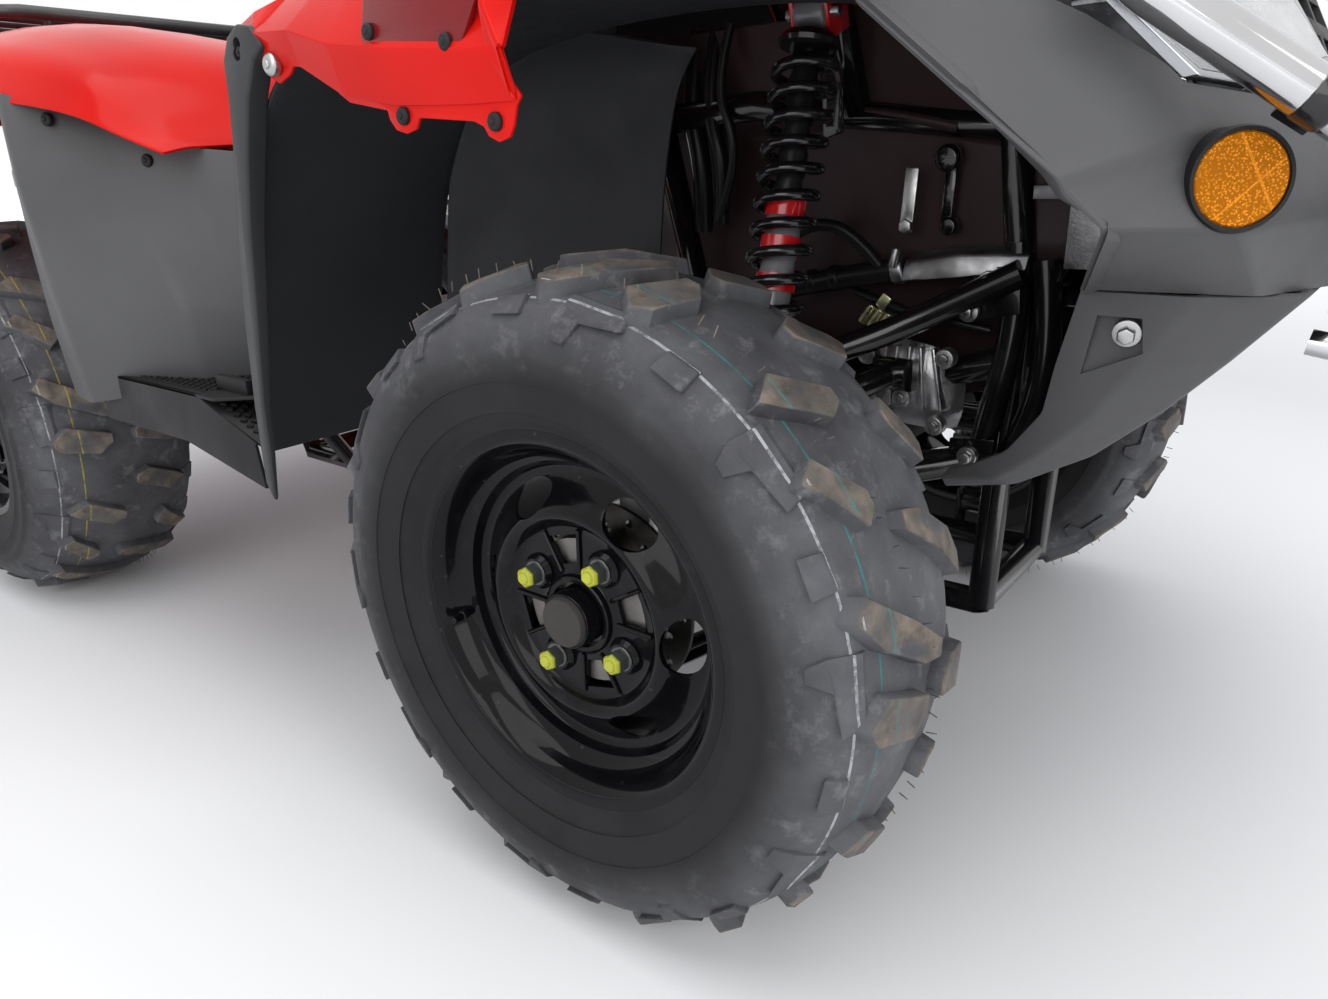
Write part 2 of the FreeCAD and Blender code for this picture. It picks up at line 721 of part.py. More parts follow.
def shock_absorber():
    """Damper body with its rod, spring seats and an eye at each end."""
    top, foot, way = shock_ends()
    length = (top - foot).Length
    eyes = [bar(SHOCK_EYE, 26, end - V(13, 0, 0), V(1, 0, 0), 10) for end in (top, foot)]
    body = bar(17, length * 0.55, foot + way * 8, way, 10)
    piston_rod = bar(7, length - 20, foot + way * 10, way, 8)
    lower_seat = bar(s.coil_radius, 6, foot + way * 44, way)
    upper_seat = bar(s.coil_radius - 4, 10, top - way * 30, way)
    return joined([body, piston_rod, lower_seat, upper_seat] + eyes)


def coil(outside, wire, turns, start, way, run, sides):
    """Spring as a sleeve with a ridge for each turn."""
    bore = outside - 2 * wire
    rings = [ring_corners(bore, start, way, sides)]
    for step in range(2 * turns + 1):
        radius = outside if step % 2 else outside - wire
        rings.append(ring_corners(radius, start + way * (run * step / (2 * turns)), way, sides))
    rings.append(ring_corners(bore, start + way * run, way, sides))
    faces = []
    for ring, above in zip(rings, rings[1:] + rings[:1]):
        for index in range(sides):
            after = (index + 1) % sides
            corners = [ring[index], ring[after], above[after], above[index], ring[index]]
            faces.append(Part.Face(Part.makePolygon(corners)))
    solid = Part.Solid(Part.Shell(faces))
    if solid.Volume < 0:
        solid.reverse()
    return solid


def shock_spring():
    """Spring seated between the two plates."""
    top, foot, way = shock_ends()
    length = (top - foot).Length
    start = foot + way * (50 + s.seat_gap)
    run = length - 50 - 30 - 2 * s.seat_gap
    return coil(s.coil_radius, s.wire_radius, int(s.coil_turns), start, way, run, 10)


subpart("shock_absorbers", pair("shock_absorbers", feature("shock_absorber", shock_absorber())))
subpart("shock_springs", pair("shock_springs", feature("shock_spring", shock_spring())))


# Main frame

def pivot_tabs(pivot_half, pivot_y, pivot_z, rail_y, bottom_z):
    """Two tabs from a frame rail to each bush of the right control arm."""
    tabs = []
    for end in (-1, 1):
        for way in (-1, 1):
            inner = fx(end * pivot_half) + way * (17 + s.seat_gap)
            x = inner if way > 0 else inner - 5
            tabs.append(Part.makeBox(5, pivot_y + 6 - rail_y, pivot_z + 16 - bottom_z,
                                     V(x, -pivot_y - 6, bottom_z)))
    return tabs


def panel_stays(bridge_z):
    """Posts and outriggers that end just short of the panels they carry."""
    rail = s.rail_y
    rise = V(0, 0, 1)
    stays = []
    for side in (-1, 1):
        for x, y, z in ((rx(250), 110, up(395)), (rx(-330), 110, up(425))):
            stays.append(rest_against(rear_fender_shape, V(x, side * y, z), rise, s.stay_radius))
        for x, y, z in ((fx(s.shock_x), 200, bridge_z), (fx(200), 90, up(392))):
            stays.append(rest_against(fender_shape, V(x, side * y, z), rise, s.stay_radius))
        brow = V(fx(217), side * 90, up(235))
        stays.append(rest_against(chin_shape, brow, V(1, 0, 0), s.stay_radius))
        board_z = up(BOARD_TOP) - s.board_wall - corner_reach(12, 8) - s.seat_gap
        for x in (mx(115), mx(-185)):
            stays.append(tube([V(x, side * rail, up(-s.rail_drop)), V(x, side * 300, board_z),
                               V(x, side * front_out(534), board_z)], 12))
    return stays


# upper length of the front upright: ahead of the front axle, across, above the axle
UPRIGHT = [(217, 96, 235), (200, 108, 392)]


def frame():
    """Welded tube frame: two lower and two upper rails, uprights, cross members and stays."""
    low = up(-s.rail_drop)
    r = s.frame_radius
    rail = s.rail_y
    upper_rail = UPPER_PIVOT_Y - corner_reach(s.arm_radius + 5, 12) - corner_reach(r, 8) - s.seat_gap
    stay_z = up(0) + corner_reach(BOOT_RADIUS, 12) + corner_reach(s.stay_radius, 8) + s.seat_gap
    front = [V(fx(205), -96, low), V(fx(-160), -104, low), V(fx(-330), -rail, low), V(rx(330), -rail, low + 8),
             V(rx(262), -rail, up(60)), V(rx(250), -rail, up(395))]
    upright = [V(fx(x), -y, up(z)) for x, y, z in UPRIGHT]
    upper = [V(fx(208), -96, low - 4), upright[0], upright[1],
             V(fx(-70), -128, up(420)), V(fx(-300), -150, up(400)), V(rx(250), -rail, up(395)),
             V(rx(-60), -rail, up(405)), V(rx(-330), -rail + 12, up(425))]
    middle = [V(fx(212), -96, stay_z + 10), V(fx(105), -100, stay_z), V(fx(-152), -100, stay_z),
              V(fx(-152), -104, low)]
    arm_rail = [V(fx(216), -96, up(170)), V(fx(150), -upper_rail, up(UPPER_PIVOT_Z)),
                V(fx(-150), -upper_rail, up(UPPER_PIVOT_Z)), V(fx(-190), -138, up(405))]
    rear_stay = [V(rx(255), -rail, up(110)), V(rx(-250), -rail + 10, up(418))]
    right = [tube(front, r), tube(upper, r), tube(arm_rail, r), tube(rear_stay, r * 0.8), tube(middle, s.stay_radius)]
    bridge_z = up(s.shock_top_z) + corner_reach(SHOCK_EYE, 10) + corner_reach(r, 8) + s.seat_gap
    tabs = pivot_tabs(UPPER_PIVOT_X, UPPER_PIVOT_Y, up(UPPER_PIVOT_Z), upper_rail, up(UPPER_PIVOT_Z) - 16)
    tabs += pivot_tabs(LOWER_PIVOT_X, LOWER_PIVOT_Y, up(LOWER_PIVOT_Z), 99, low)
    right += tabs
    tower = tube([V(fx(s.shock_x), -s.shock_top_y + 34, bridge_z), V(fx(s.shock_x), -124, up(411))], r)
    right.append(tower)
    left = [mirror_shape(shape) for shape in right]
    across = []
    for x, y, z in ((fx(206), 96, low), (fx(217), 96, up(235)), (fx(200), 108, up(392)), (fx(-330), rail, low),
                    (mx(185), rail, low), (mx(-95), rail, low), (rx(330), rail, low + 8),
                    (rx(250), rail, up(395)), (rx(-330), rail - 12, up(425))):
        across.append(tube([V(x, -y, z), V(x, y, z)], r))
    bridge_y = s.shock_top_y + 30
    bridge = tube([V(fx(s.shock_x), -bridge_y, bridge_z), V(fx(s.shock_x), bridge_y, bridge_z)], r)
    foot, way = column_line()
    collar_at = foot + way * ((up(418) - foot.z) / way.z)
    collar = Part.makeBox(60, 2 * 126, 24, V(collar_at.x - 30, -126, collar_at.z - 12))
    body = joined(right + left + across + [bridge, collar] + panel_stays(bridge_z))
    column_room = bar(corner_reach(s.column_radius, 12) + s.seat_gap, 120, collar_at - way * 60, way)
    return body.cut(column_room)


# Engine, exhaust and radiator

def engine_case():
    """Crankcase with its two round side covers and a sump."""
    low = rail_top()
    core = Part.makeBox(400, 220, 250, V(mx(-155), -110, low + s.seat_gap))
    core = core.makeChamfer(26, [edge for edge in core.Edges if abs(edge.tangentAt(edge.FirstParameter).y) > 0.9])
    clutch_cover = bar(112, 34, V(mx(135), 110, low + 138), V(0, 1, 0), 16)
    starter_cover = bar(96, 36, V(mx(75), -110, low + 132), V(0, -1, 0), 16)
    gear_cover = bar(66, 34, V(mx(-65), -110, low + 120), V(0, -1, 0), 12)
    return joined([core, clutch_cover, starter_cover, gear_cover])


def engine_cylinder():
    """Air-cooled cylinder and head with a stack of cooling fins."""
    low = rail_top()
    base = V(mx(115), 0, low + 250 + 2 * s.seat_gap)
    barrel = Part.makeBox(104, 110, s.fin_pitch * s.fin_count + 16, base + V(-52, -55, 0))
    pieces = [barrel]
    for fin in range(int(s.fin_count)):
        rise = 8 + s.fin_pitch * fin
        pieces.append(Part.makeBox(142, 150, s.fin_thick, base + V(-71, -75, rise)))
    head = Part.makeBox(120, 130, 44, base + V(-60, -65, s.fin_pitch * s.fin_count + 12))
    cover = bar(26, 96, base + V(-48, 0, s.fin_pitch * s.fin_count + 52), V(1, 0, 0))
    return joined(pieces + [head, cover])


def exhaust():
    """Header from the front of the head down the right side to a silencer under the rear rack."""
    low = rail_top()
    port = V(mx(175) + s.seat_gap, -20, low + 250 + s.fin_pitch * s.fin_count + 34)
    muffler_y = -rear_out(245)
    header = tube([port, port + V(24, 0, 0), port + V(64, -24, -18), V(mx(245), -146, up(258)), V(mx(75), -156, up(306)),
                   V(rx(250), -212, up(352)), V(rx(60), muffler_y, up(362))], 17)
    can = bar(s.muffler_radius, 400, V(rx(70), muffler_y, up(362)), V(-1, 0, 0), 14)
    tip = bar(16, 46, V(rx(-325), muffler_y, up(372)), V(-1, 0, 0), 10)
    return joined([header, can, tip])


def radiator():
    """Oil cooler core with its two tanks, behind the front grille."""
    core = Part.makeBox(26, 210, 150, V(fx(268), -105, up(270)))
    tanks = [Part.makeBox(34, 30, 158, V(fx(264), y, up(266))) for y in (-134, 104)]
    mounts = [Part.makeBox(44, 20, 12, V(fx(222.8), y, up(326))) for y in (-110, 90)]
    return joined([core] + tanks + mounts)


subpart("engine_case", feature("engine_case", engine_case()))
subpart("engine_cylinder", feature("engine_cylinder", engine_cylinder()))
subpart("exhaust", feature("exhaust", exhaust()))
subpart("radiator", feature("radiator", radiator()))


# Rear suspension and tow hitch

PIVOT_X = 262
PIVOT_Z = 62


def swing_arm():
    """Two arms from the frame pivot to the axle's housing, with the final drive on it."""
    hollow = corner_reach(s.rear_axle_radius, 12) + s.running_gap
    housing = bar(hollow + 12, 2 * 205, V(rx(0), -205, up(0)), V(0, 1, 0))
    drive = lathe([(-70, 0), (-70, 60), (-40, 92), (40, 92), (70, 60), (70, 0)], 12, V(rx(0), 0, up(6)))
    inside = s.rail_y - s.frame_radius - 30
    arms = []
    for side in (-1, 1):
        arms.append(tube([V(rx(PIVOT_X), side * inside, up(PIVOT_Z)), V(rx(130), side * inside, up(40)),
                          V(rx(20), side * 170, up(8))], 19))
    pivot_end = s.rail_y - corner_reach(s.frame_radius, 8) - s.seat_gap
    pivot = bar(17, 2 * pivot_end, V(rx(PIVOT_X), -pivot_end, up(PIVOT_Z)), V(0, 1, 0))
    shaft_tube = tube([V(rx(PIVOT_X), 60, up(PIVOT_Z)), V(rx(40), 40, up(10))], 24)
    ear = Part.makeBox(40, 34, 60, V(rx(96), -17, up(48)))
    brace = tube([V(rx(116), -inside, up(37)), V(rx(116), inside, up(37))], 16)
    plate = Part.makeBox(120, 60, s.hitch_plate, V(rx(-190), -30, up(-2)))
    plate_rib = Part.makeBox(100, 10, 44, V(rx(-150), -5, up(-2) + s.hitch_plate))
    body = joined([housing, drive, pivot, shaft_tube, ear, brace, plate, plate_rib] + arms)
    ball_hole = Part.makeCylinder(s.hitch_hole, s.hitch_plate + 20, V(rx(-168), 0, up(-2) - 10))
    axle_room = bar(hollow, 2 * 186, V(rx(0), -186, up(0)), V(0, 1, 0))
    bearing_reach = corner_reach(s.rear_axle_radius, 12) + s.seat_gap
    bearing_room = bar(bearing_reach, 2 * 215, V(rx(0), -215, up(0)), V(0, 1, 0))
    return body.cut([ball_hole, axle_room, bearing_room])


REAR_EYE = 16


def rear_shock_ends():
    eye_reach = corner_reach(REAR_EYE, 12) + s.seat_gap
    top = V(rx(250), 0, up(395) - corner_reach(s.frame_radius, 8) - eye_reach)
    foot = V(rx(116), 0, up(108) + eye_reach)
    return top, foot, (top - foot).normalize()


def rear_shock():
    """Single rear damper with its spring as one sleeve, between the swing arm and the frame."""
    top, foot, way = rear_shock_ends()
    length = (top - foot).Length
    eyes = [bar(REAR_EYE, 30, end - V(0, 15, 0), V(0, 1, 0)) for end in (top, foot)]
    body = bar(20, length - 8, foot + way * 4, way)
    spring = bar(38, length - 84, foot + way * 40, way)
    return joined([body, spring] + eyes)


subpart("swing_arm", feature("swing_arm", swing_arm()))
subpart("rear_shock", feature("rear_shock", rear_shock()))


# Steering

def column_line():
    """Foot of the steering column and the way it points, up and back."""
    foot = V(fx(s.column_foot_x), 0, up(s.column_foot_z))
    lean = math.radians(s.column_rake)
    return foot, V(-math.sin(lean), 0, math.cos(lean))


def pitman_pin():
    foot, way = column_line()
    back = V(-way.z, 0, way.x)
    return foot + back * s.pitman_arm


def steering_column():
    """Column tube with the arm at its foot, the arm's pin and the clamp for the handlebar."""
    foot, way = column_line()
    back = V(-way.z, 0, way.x)
    post = bar(s.column_radius, s.column_length, foot - way * 14, way)
    corners = [foot + back * a + V(0, b, 0) - way * 6 for a, b in
               ((-18, -14), (-18, 14), (10, 18), (s.pitman_arm, 12), (s.pitman_arm + 12, 0), (s.pitman_arm, -12),
                (10, -18))]
    arm = Part.Face(Part.makePolygon(corners + corners[:1])).extrude(way * 12)
    pin = bar(6, 74, pitman_pin() - way * 37, way)
    head = foot + way * s.column_length
    clamp = Part.makeBox(46, 96, 30, V(-23, -48, -30))
    clamp.Placement = FreeCAD.Placement(head, FreeCAD.Rotation(V(0, 0, 1), way))
    return joined([post, arm, pin, clamp])


def bar_points():
    """Right half of the handlebar's line, from its middle to its end."""
    foot, way = column_line()
    head = foot + way * (s.column_length + corner_reach(s.bar_radius, 10) + s.seat_gap)
    rise = s.bar_rise
    return [head, head + V(0, -58, 0), head + V(-14, -168, rise * 0.86),
            head + V(-96, -s.bar_half_width, rise)]


def handlebar():
    right = bar_points()
    left = [V(point.x, -point.y, point.z) for point in right]
    return tube(list(reversed(left[1:])) + right[1:], s.bar_radius, 10)


def grip_way():
    points = bar_points()
    return points[-1], (points[-2] - points[-1]).normalize()


def grip():
    """Rubber grip with a flange at its inner end, over the end of the bar."""
    end, way = grip_way()
    sleeve = bar(s.grip_radius, s.grip_length, end - way * 4, way)
    flange = bar(s.grip_radius + 6, 6, end + way * (s.grip_length - 10), way)
    room = bar(corner_reach(s.bar_radius, 10) + s.seat_gap, s.grip_length + 8, end - way * s.seat_gap, way)
    return joined([sleeve, flange]).cut(room)


def hand_control():
    """Switch and throttle housing with the brake lever in front of the grip."""
    end, way = grip_way()
    start = end + way * (s.grip_length + 6)
    housing = bar(25, 44, start, way)
    room = bar(corner_reach(s.bar_radius, 10) + s.seat_gap, 70, start - way * 10, way)
    front = V(way.y, -way.x, 0).normalize()
    front = front if front.x > 0 else front * -1
    lever = tube([start + way * 26 + front * 18, start + way * 6 + front * 46, end + way * 30 + front * 52], 6)
    return joined([housing, lever]).cut(room)


def instrument_pod():
    """Handlebar cover with the round dial's housing on it."""
    foot, way = column_line()
    head = foot + way * (s.column_length + 2 * corner_reach(s.bar_radius, 10) + 2 * s.seat_gap)
    outline = [(-52, -60), (-62, 0), (-52, 60), (30, 72), (64, 44), (64, -44), (30, -72)]
    small = [(a * 0.8, b * 0.8) for a, b in outline]
    side_way = V(0, 1, 0)
    ahead = V(way.z, 0, -way.x)
    stations = [(0, small), (16, outline), (44, outline), (62, small)]
    return closed_loft(stations, lambda rise, a, b: head + way * rise + ahead * a + side_way * b)


subpart("steering_column", feature("steering_column", steering_column()))
subpart("handlebar", feature("handlebar", handlebar()))
subpart("grips", pair("grips", feature("grip", grip())))
subpart("hand_controls", pair("hand_controls", feature("hand_control", hand_control())))
subpart("instrument_pod", feature("instrument_pod", instrument_pod()))

ROD_EYE = 9


def tie_rod(side):
    """Rod with an eye on the column's pin and a ball end over the steering arm."""
    foot, way = column_line()
    inner = pitman_pin() + way * (side * 22)
    outer = V(fx(-s.knuckle_arm), side * s.kingpin_y, up(44) + s.seat_gap + ROD_EYE)
    eye = bar(14, 2 * ROD_EYE, inner - way * ROD_EYE, way)
    ball = bar(11, 2 * ROD_EYE, outer - V(0, 0, ROD_EYE), V(0, 0, 1))
    run = (outer - inner).normalize()
    shaft = tube([inner + run * 10, outer - run * 6], s.tie_rod_radius)
    bore = bar(6 / math.cos(math.pi / 12) + s.seat_gap, 4 * ROD_EYE, inner - way * 2 * ROD_EYE, way)
    return joined([eye, ball, shaft]).cut(bore)


for side_name, side in SIDES.items():
    subpart(f"tie_rod_{side_name}", feature(f"tie_rod_{side_name}", tie_rod(side)))


# Body panels

def at_x(x, y, z):
    return V(x, y, z)


def at_y(y, x, z):
    return V(x, y, z)


def at_z(z, x, y):
    return V(x, y, z)


def reach(shape, start, way):
    """Distance from a point along a direction to the first wall of a shape."""
    line = Part.makeLine(start, start + way * 2000).common(shape)
    return min((vertex.Point - start).Length for vertex in line.Vertexes)


def rest_point(shape, start, way, radius, sides=8):
    """Where a bar along a direction has to end to lie just short of a shape's wall."""
    nearest = min(reach(shape, point, way) for point in ring_corners(radius, start, way, sides) + [start])
    return start + way * (nearest - s.seat_gap)


def rest_against(shape, start, way, radius, sides=8):
    """Bar from a point that ends just short of a shape's wall."""
    return bar(radius, (rest_point(shape, start, way, radius, sides) - start).Length, start, way, sides)


# ahead of the front axle, then (across, above the axle) from the outer edge inwards
FRONT_FENDER = [
    (-385, [(530, 484), (528, 488), (500, 500), (380, 525), (150, 535)]),
    (-324, [(546, 487), (545, 492), (508, 514), (387, 544), (150, 554)]),
    (-316, [(546, 450), (553, 470), (509, 515), (389, 547), (150, 557)]),
    (-262, [(547, 443), (557, 468), (513, 518), (393, 552), (150, 561)]),
    (-198, [(548, 408), (559, 466), (517, 522), (397, 558), (150, 566)]),
    (-140, [(548, 402), (560, 465), (520, 525), (400, 562), (150, 570)]),
    (-12, [(546, 400), (558, 470), (520, 532), (400, 566), (150, 572)]),
    (2, [(556, 494), (557, 500), (520, 532), (400, 566), (150, 572)]),
    (150, [(549, 486), (548, 496), (515, 528), (400, 560), (150, 568)]),
    (250, [(540, 478), (538, 488), (505, 512), (398, 546), (150, 556)]),
]

# ahead of the rear axle, then (across, above the axle) from the outer edge inwards
REAR_FENDER = [
    (690, [(438, 385), (425, 428), (330, 468), (185, 478), (172, 450), (150, 446)]),
    (550, [(508, 398), (485, 440), (385, 482), (190, 490), (178, 452), (150, 446)]),
    (410, [(588, 412), (562, 462), (430, 505), (190, 505), (178, 452), (150, 446)]),
    (220, [(600, 466), (572, 500), (440, 530), (190, 522), (178, 460), (150, 454)]),
    (0, [(602, 486), (576, 515), (440, 542), (190, 535), (178, 475), (150, 470)]),
    (-230, [(592, 474), (562, 502), (430, 532), (190, 528), (178, 490), (150, 486)]),
    (-375, [(550, 440), (522, 470), (400, 508), (190, 510), (178, 500), (150, 498)]),
]

# above the axle, then (ahead of the front axle, across) from the arch's edge round to the middle
NOSE = [
    (275.3, [(330, 345), (440, 330), (478, 240), (490, 0)]),
    (322, [(364, 452), (432, 392), (476, 262), (488, 0)]),
    (349, [(354, 500), (425, 392), (470, 262), (482, 0)]),
    (401, [(292, 512), (379, 402), (440, 262), (455, 0)]),
    (452, [(231, 520), (350, 400), (415, 262), (430, 0)]),
    (538, [(190, 520), (300, 395), (365, 262), (385, 0)]),
]

# ahead of the front axle, then (across, above the axle) from the upper edge down and inwards
CHIN = [
    (193, [(206, 84), (208, 66), (190, 53), (40, 50)]),
    (260, [(250, 116), (252, 98), (236, 78), (40, 74)]),
    (300, [(286, 178), (290, 130), (268, 105), (40, 102)]),
    (350, [(340, 274), (330, 182), (298, 152), (40, 148)]),
    (412, [(352, 275), (338, 234), (298, 206), (40, 202)]),
    (468, [(330, 275), (322, 268), (288, 257), (40, 253)]),
]

# ahead of the middle between the axles, then (across, above the axle) from the lower edge up to the middle
TANK_COVER = [
    (17, [(182, 392), (180, 470), (116, 545), (40, 556)]),
    (165, [(182, 384), (184, 520), (124, 600), (40, 612)]),
    (315, [(192, 388), (196, 545), (134, 622), (40, 634)]),
    (431, [(196, 420), (198, 530), (136, 600), (40, 610)]),
]

# ahead of the rear axle, half width, seam above the axle, crown over the foam's thickness
SEAT = [
    (632, 106, 500, 10),
    (540, 148, 490, 4),
    (350, 172, 488, -2),
    (120, 172, 500, 4),
    (-60, 156, 520, 0),
]

# ahead of the front axle and above the axle, up the back of the arch and over it
MUDGUARD = [(-434, 77), (-426, 170), (-404, 294), (-366, 400), (-300, 462), (-180, 488), (0, 494), (140, 484),
            (226, 454)]

# above the axle, then (ahead of the footboard's back end, across) from the body back to the arch and inwards
REAR_FLARE = [
    (62, [(272, 430), (122, 508), (6, 578), (-32, 566), (-46, 300)]),
    (240, [(286, 420), (142, 500), (2, 588), (-36, 574), (-48, 300)]),
    (384, [(290, 425), (154, 490), (20, 570), (-14, 560), (-26, 300)]),
]

def front_fender_skin():
    stations = [(fx(x), both_ways([(front_out(y), up(z)) for y, z in half])) for x, half in FRONT_FENDER]
    return skin(stations, s.panel_wall, at_x)


def front_fender():
    """Fender across the machine, open round the steering column and the tank."""
    foot, way = column_line()
    top = up(620)
    middle = foot + way * ((up(565) - foot.z) / way.z)
    column_room = Part.makeBox(76, 72, 300, V(middle.x - 38, -36, top - 300))
    tank_room = Part.makeBox(260, 2 * 206, 300, V(fx(-450), -206, top - 300))
    return front_fender_skin().cut([column_room, tank_room])


def rear_fender():
    """Fender over both rear wheels with the tray that carries the seat between them."""
    stations = [(rx(x), both_ways([(rear_out(y), up(z)) for y, z in half])) for x, half in REAR_FENDER]
    tank_end = mx(TANK_COVER[0][0]) - s.seat_gap
    tank_side = TANK_COVER[0][1][0][0] + s.seat_gap
    tank_room = Part.makeBox(200, 2 * tank_side, 300, V(tank_end, -tank_side, up(300)))
    return skin(stations, s.panel_wall, at_x).cut(tank_room)


def above_fender():
    """Space above the underside of the front fender's front half."""
    stations = []
    for x, half in FRONT_FENDER[6:]:
        line = both_ways([(front_out(y), up(z)) for y, z in half])
        line = inset(line, s.panel_wall + s.seat_gap)
        stations.append((fx(x), line + [(line[-1][0], up(700)), (line[0][0], up(700))]))
    return closed_loft(stations, at_x)


def nose_line(half, grow=0):
    """Line across the nose, from the left arch's edge to the right one."""
    right = [(fx(x), -front_out(y)) for x, y in half]
    left = [(x, -y) for x, y in right[:-1]]
    line = left + list(reversed(right))
    return inset(line, -grow) if grow else line


def nose_solid(grow):
    """Everything behind the nose's surface, grown outwards by a distance."""
    stations = []
    for z, half in NOSE:
        line = nose_line(half, grow)
        stations.append((up(z), line + [(fx(100), line[-1][1]), (fx(100), line[0][1])]))
    return closed_loft(stations, at_z)


# across and above the axle, round a headlight's opening
LAMP_OPENING = [(196, 420), (206, 466), (300, 498), (404, 484), (436, 452), (392, 404), (330, 398)]
GRILLE_OPENING = [(-140, 330), (-158, 500), (158, 500), (140, 330)]


def outline_bar(outline, grow):
    """Outline given across and above the axle, grown or shrunk about its middle, pushed forwards."""
    middle_y = sum(y for y, z in outline) / len(outline)
    middle_z = sum(z for y, z in outline) / len(outline)
    corners = []
    for y, z in outline:
        away = V(0, y - middle_y, z - middle_z)
        away = away * ((away.Length + grow) / away.Length)
        corners.append(V(0, -front_out(middle_y + away.y), up(middle_z + away.z)))
    return prism(corners, V(fx(120), 0, 0), V(500, 0, 0))


def front_fascia():
    """Moulded nose with openings for the headlights and the grille."""
    stations = [(up(z), nose_line(half)) for z, half in NOSE]
    shell = skin(stations, s.panel_wall, at_z)
    lamp = outline_bar(LAMP_OPENING, 0)
    grille = outline_bar(GRILLE_OPENING, 0)
    return shell.cut([lamp, mirror_shape(lamp), grille, above_fender()])


def headlight():
    """Lamp unit that fills its opening, its lens a little proud of the nose."""
    return outline_bar(LAMP_OPENING, -2 * s.seat_gap).common(nose_solid(5)).cut(nose_solid(-46))


def front_grille():
    """Grille frame with slats and uprights, set in the nose."""
    plate = outline_bar(GRILLE_OPENING, -2 * s.seat_gap).common(nose_solid(-2)).cut(nose_solid(-12))
    gaps = []
    for row in range(5):
        for column in range(4):
            gaps.append(Part.makeBox(400, 56, 17, V(fx(100), -130 + 68 * column, up(346 + 29 * row))))
    return plate.cut(gaps)


def front_guard():
    """Lower guard under the nose, sloping back below the frame."""
    stations = [(fx(x), both_ways([(front_out(y), up(z)) for y, z in half])) for x, half in CHIN]
    frame_front = fx(212.8) + corner_reach(s.frame_radius, 8) + s.seat_gap
    frame_room = Part.makeBox(100, 2 * 118, 400, V(frame_front - 100, -118, up(0)))
    return skin(stations, -s.panel_wall, at_x).cut(frame_room)


def tank_cover():
    stations = [(mx(x), both_ways([(y, up(z)) for y, z in half])) for x, half in TANK_COVER]
    return skin(stations, s.panel_wall, at_x)


def fuel_cap():
    """Round cap on the tank cover, with a grip ring."""
    rise = V(0, 0, 1)
    foot = rest_point(tank_shape, V(mx(250), 0, up(800)), V(0, 0, -1), 32, 16)
    return joined([bar(32, 12, foot, rise, 16), bar(27, 24, foot, rise, 16)])


def tray_height(x):
    """Top of the rear fender's tray above the axle, ahead of the rear axle."""
    for (x_one, half_one), (x_two, half_two) in zip(REAR_FENDER, REAR_FENDER[1:]):
        if x_two <= x <= x_one:
            share = (x_one - x) / (x_one - x_two)
            return half_one[-1][1] + share * (half_two[-1][1] - half_one[-1][1])
    raise ValueError("no tray there")


def seat():
    """Foam seat, narrow at the tank and wide at the back, standing in the fender's tray."""
    stations = []
    for x, half_width, seam, swell in SEAT:
        floor = up(tray_height(x)) + s.seat_gap
        crown = up(seam + s.seat_padding + swell)
        half = [(half_width - 24, floor), (half_width, floor + 9), (half_width + 1, up(seam)),
                (half_width * 0.82, crown - 7), (0, crown)]
        stations.append((rx(x), both_ways(half)))
    return closed_loft(stations, at_x)


# across, then (ahead of the front axle, above the axle) up the inner wall of the arch
LINER = [
    (200, [(-150, 272), (-142, 320), (-128, 385), (-118, 425)]),
    (228, [(-292, 262), (-286, 320), (-256, 400), (-236, 440)]),
    (295, [(-404, 294), (-385, 347), (-366, 400), (-300, 462)]),
]


def mudguard():
    """Liner behind and over the right front wheel, with its inner wall beside the shock absorber."""
    line = [(fx(x), up(z)) for x, z in MUDGUARD]
    stations = [(-front_out(292), line), (-front_out(536), line)]
    wall = [(-front_out(y), [(fx(x), up(z)) for x, z in half]) for y, half in LINER]
    return skin(stations, s.panel_wall, at_y).fuse(skin(wall, s.panel_wall, at_y))


def splash_panel():
    """Plate beside the steering column, on the inside of the frame's front upright."""
    (low_x, low_y, low_z), (high_x, high_y, high_z) = UPRIGHT
    foot_z = low_z + 31
    tube_y = low_y + (high_y - low_y) * (foot_z - low_z) / (high_z - low_z)
    y = tube_y - corner_reach(s.frame_radius, 8) - s.seat_gap
    outline = [(-20, 262), (30, 258), (low_x + 5, foot_z), (low_x + 9, 372), (-20, 384)]
    corners = [V(fx(x), -y, up(z)) for x, z in outline]
    return prism(corners, V(0, 0, 0), V(0, s.panel_wall, 0))


def mudguard_edge():
    """Stiff strip down the outer edge of the mudguard, ending below the footboard."""
    outer = [(-372, 478), (-398, 400), (-430, 294), (-448, 170), (-452, 66), (-438, 30)]
    inner = [(-424, 40), (-432, 78), (-424, 170), (-402, 292), (-366, 394), (-342, 466), (-348, 478)]
    corners = [V(fx(x), -front_out(558), up(z)) for x, z in outer + inner]
    return prism(corners, V(0, 0, 0), V(0, 22 - s.seat_gap, 0))


BOARD_TOP = 108
ARCH_ROOM = 98


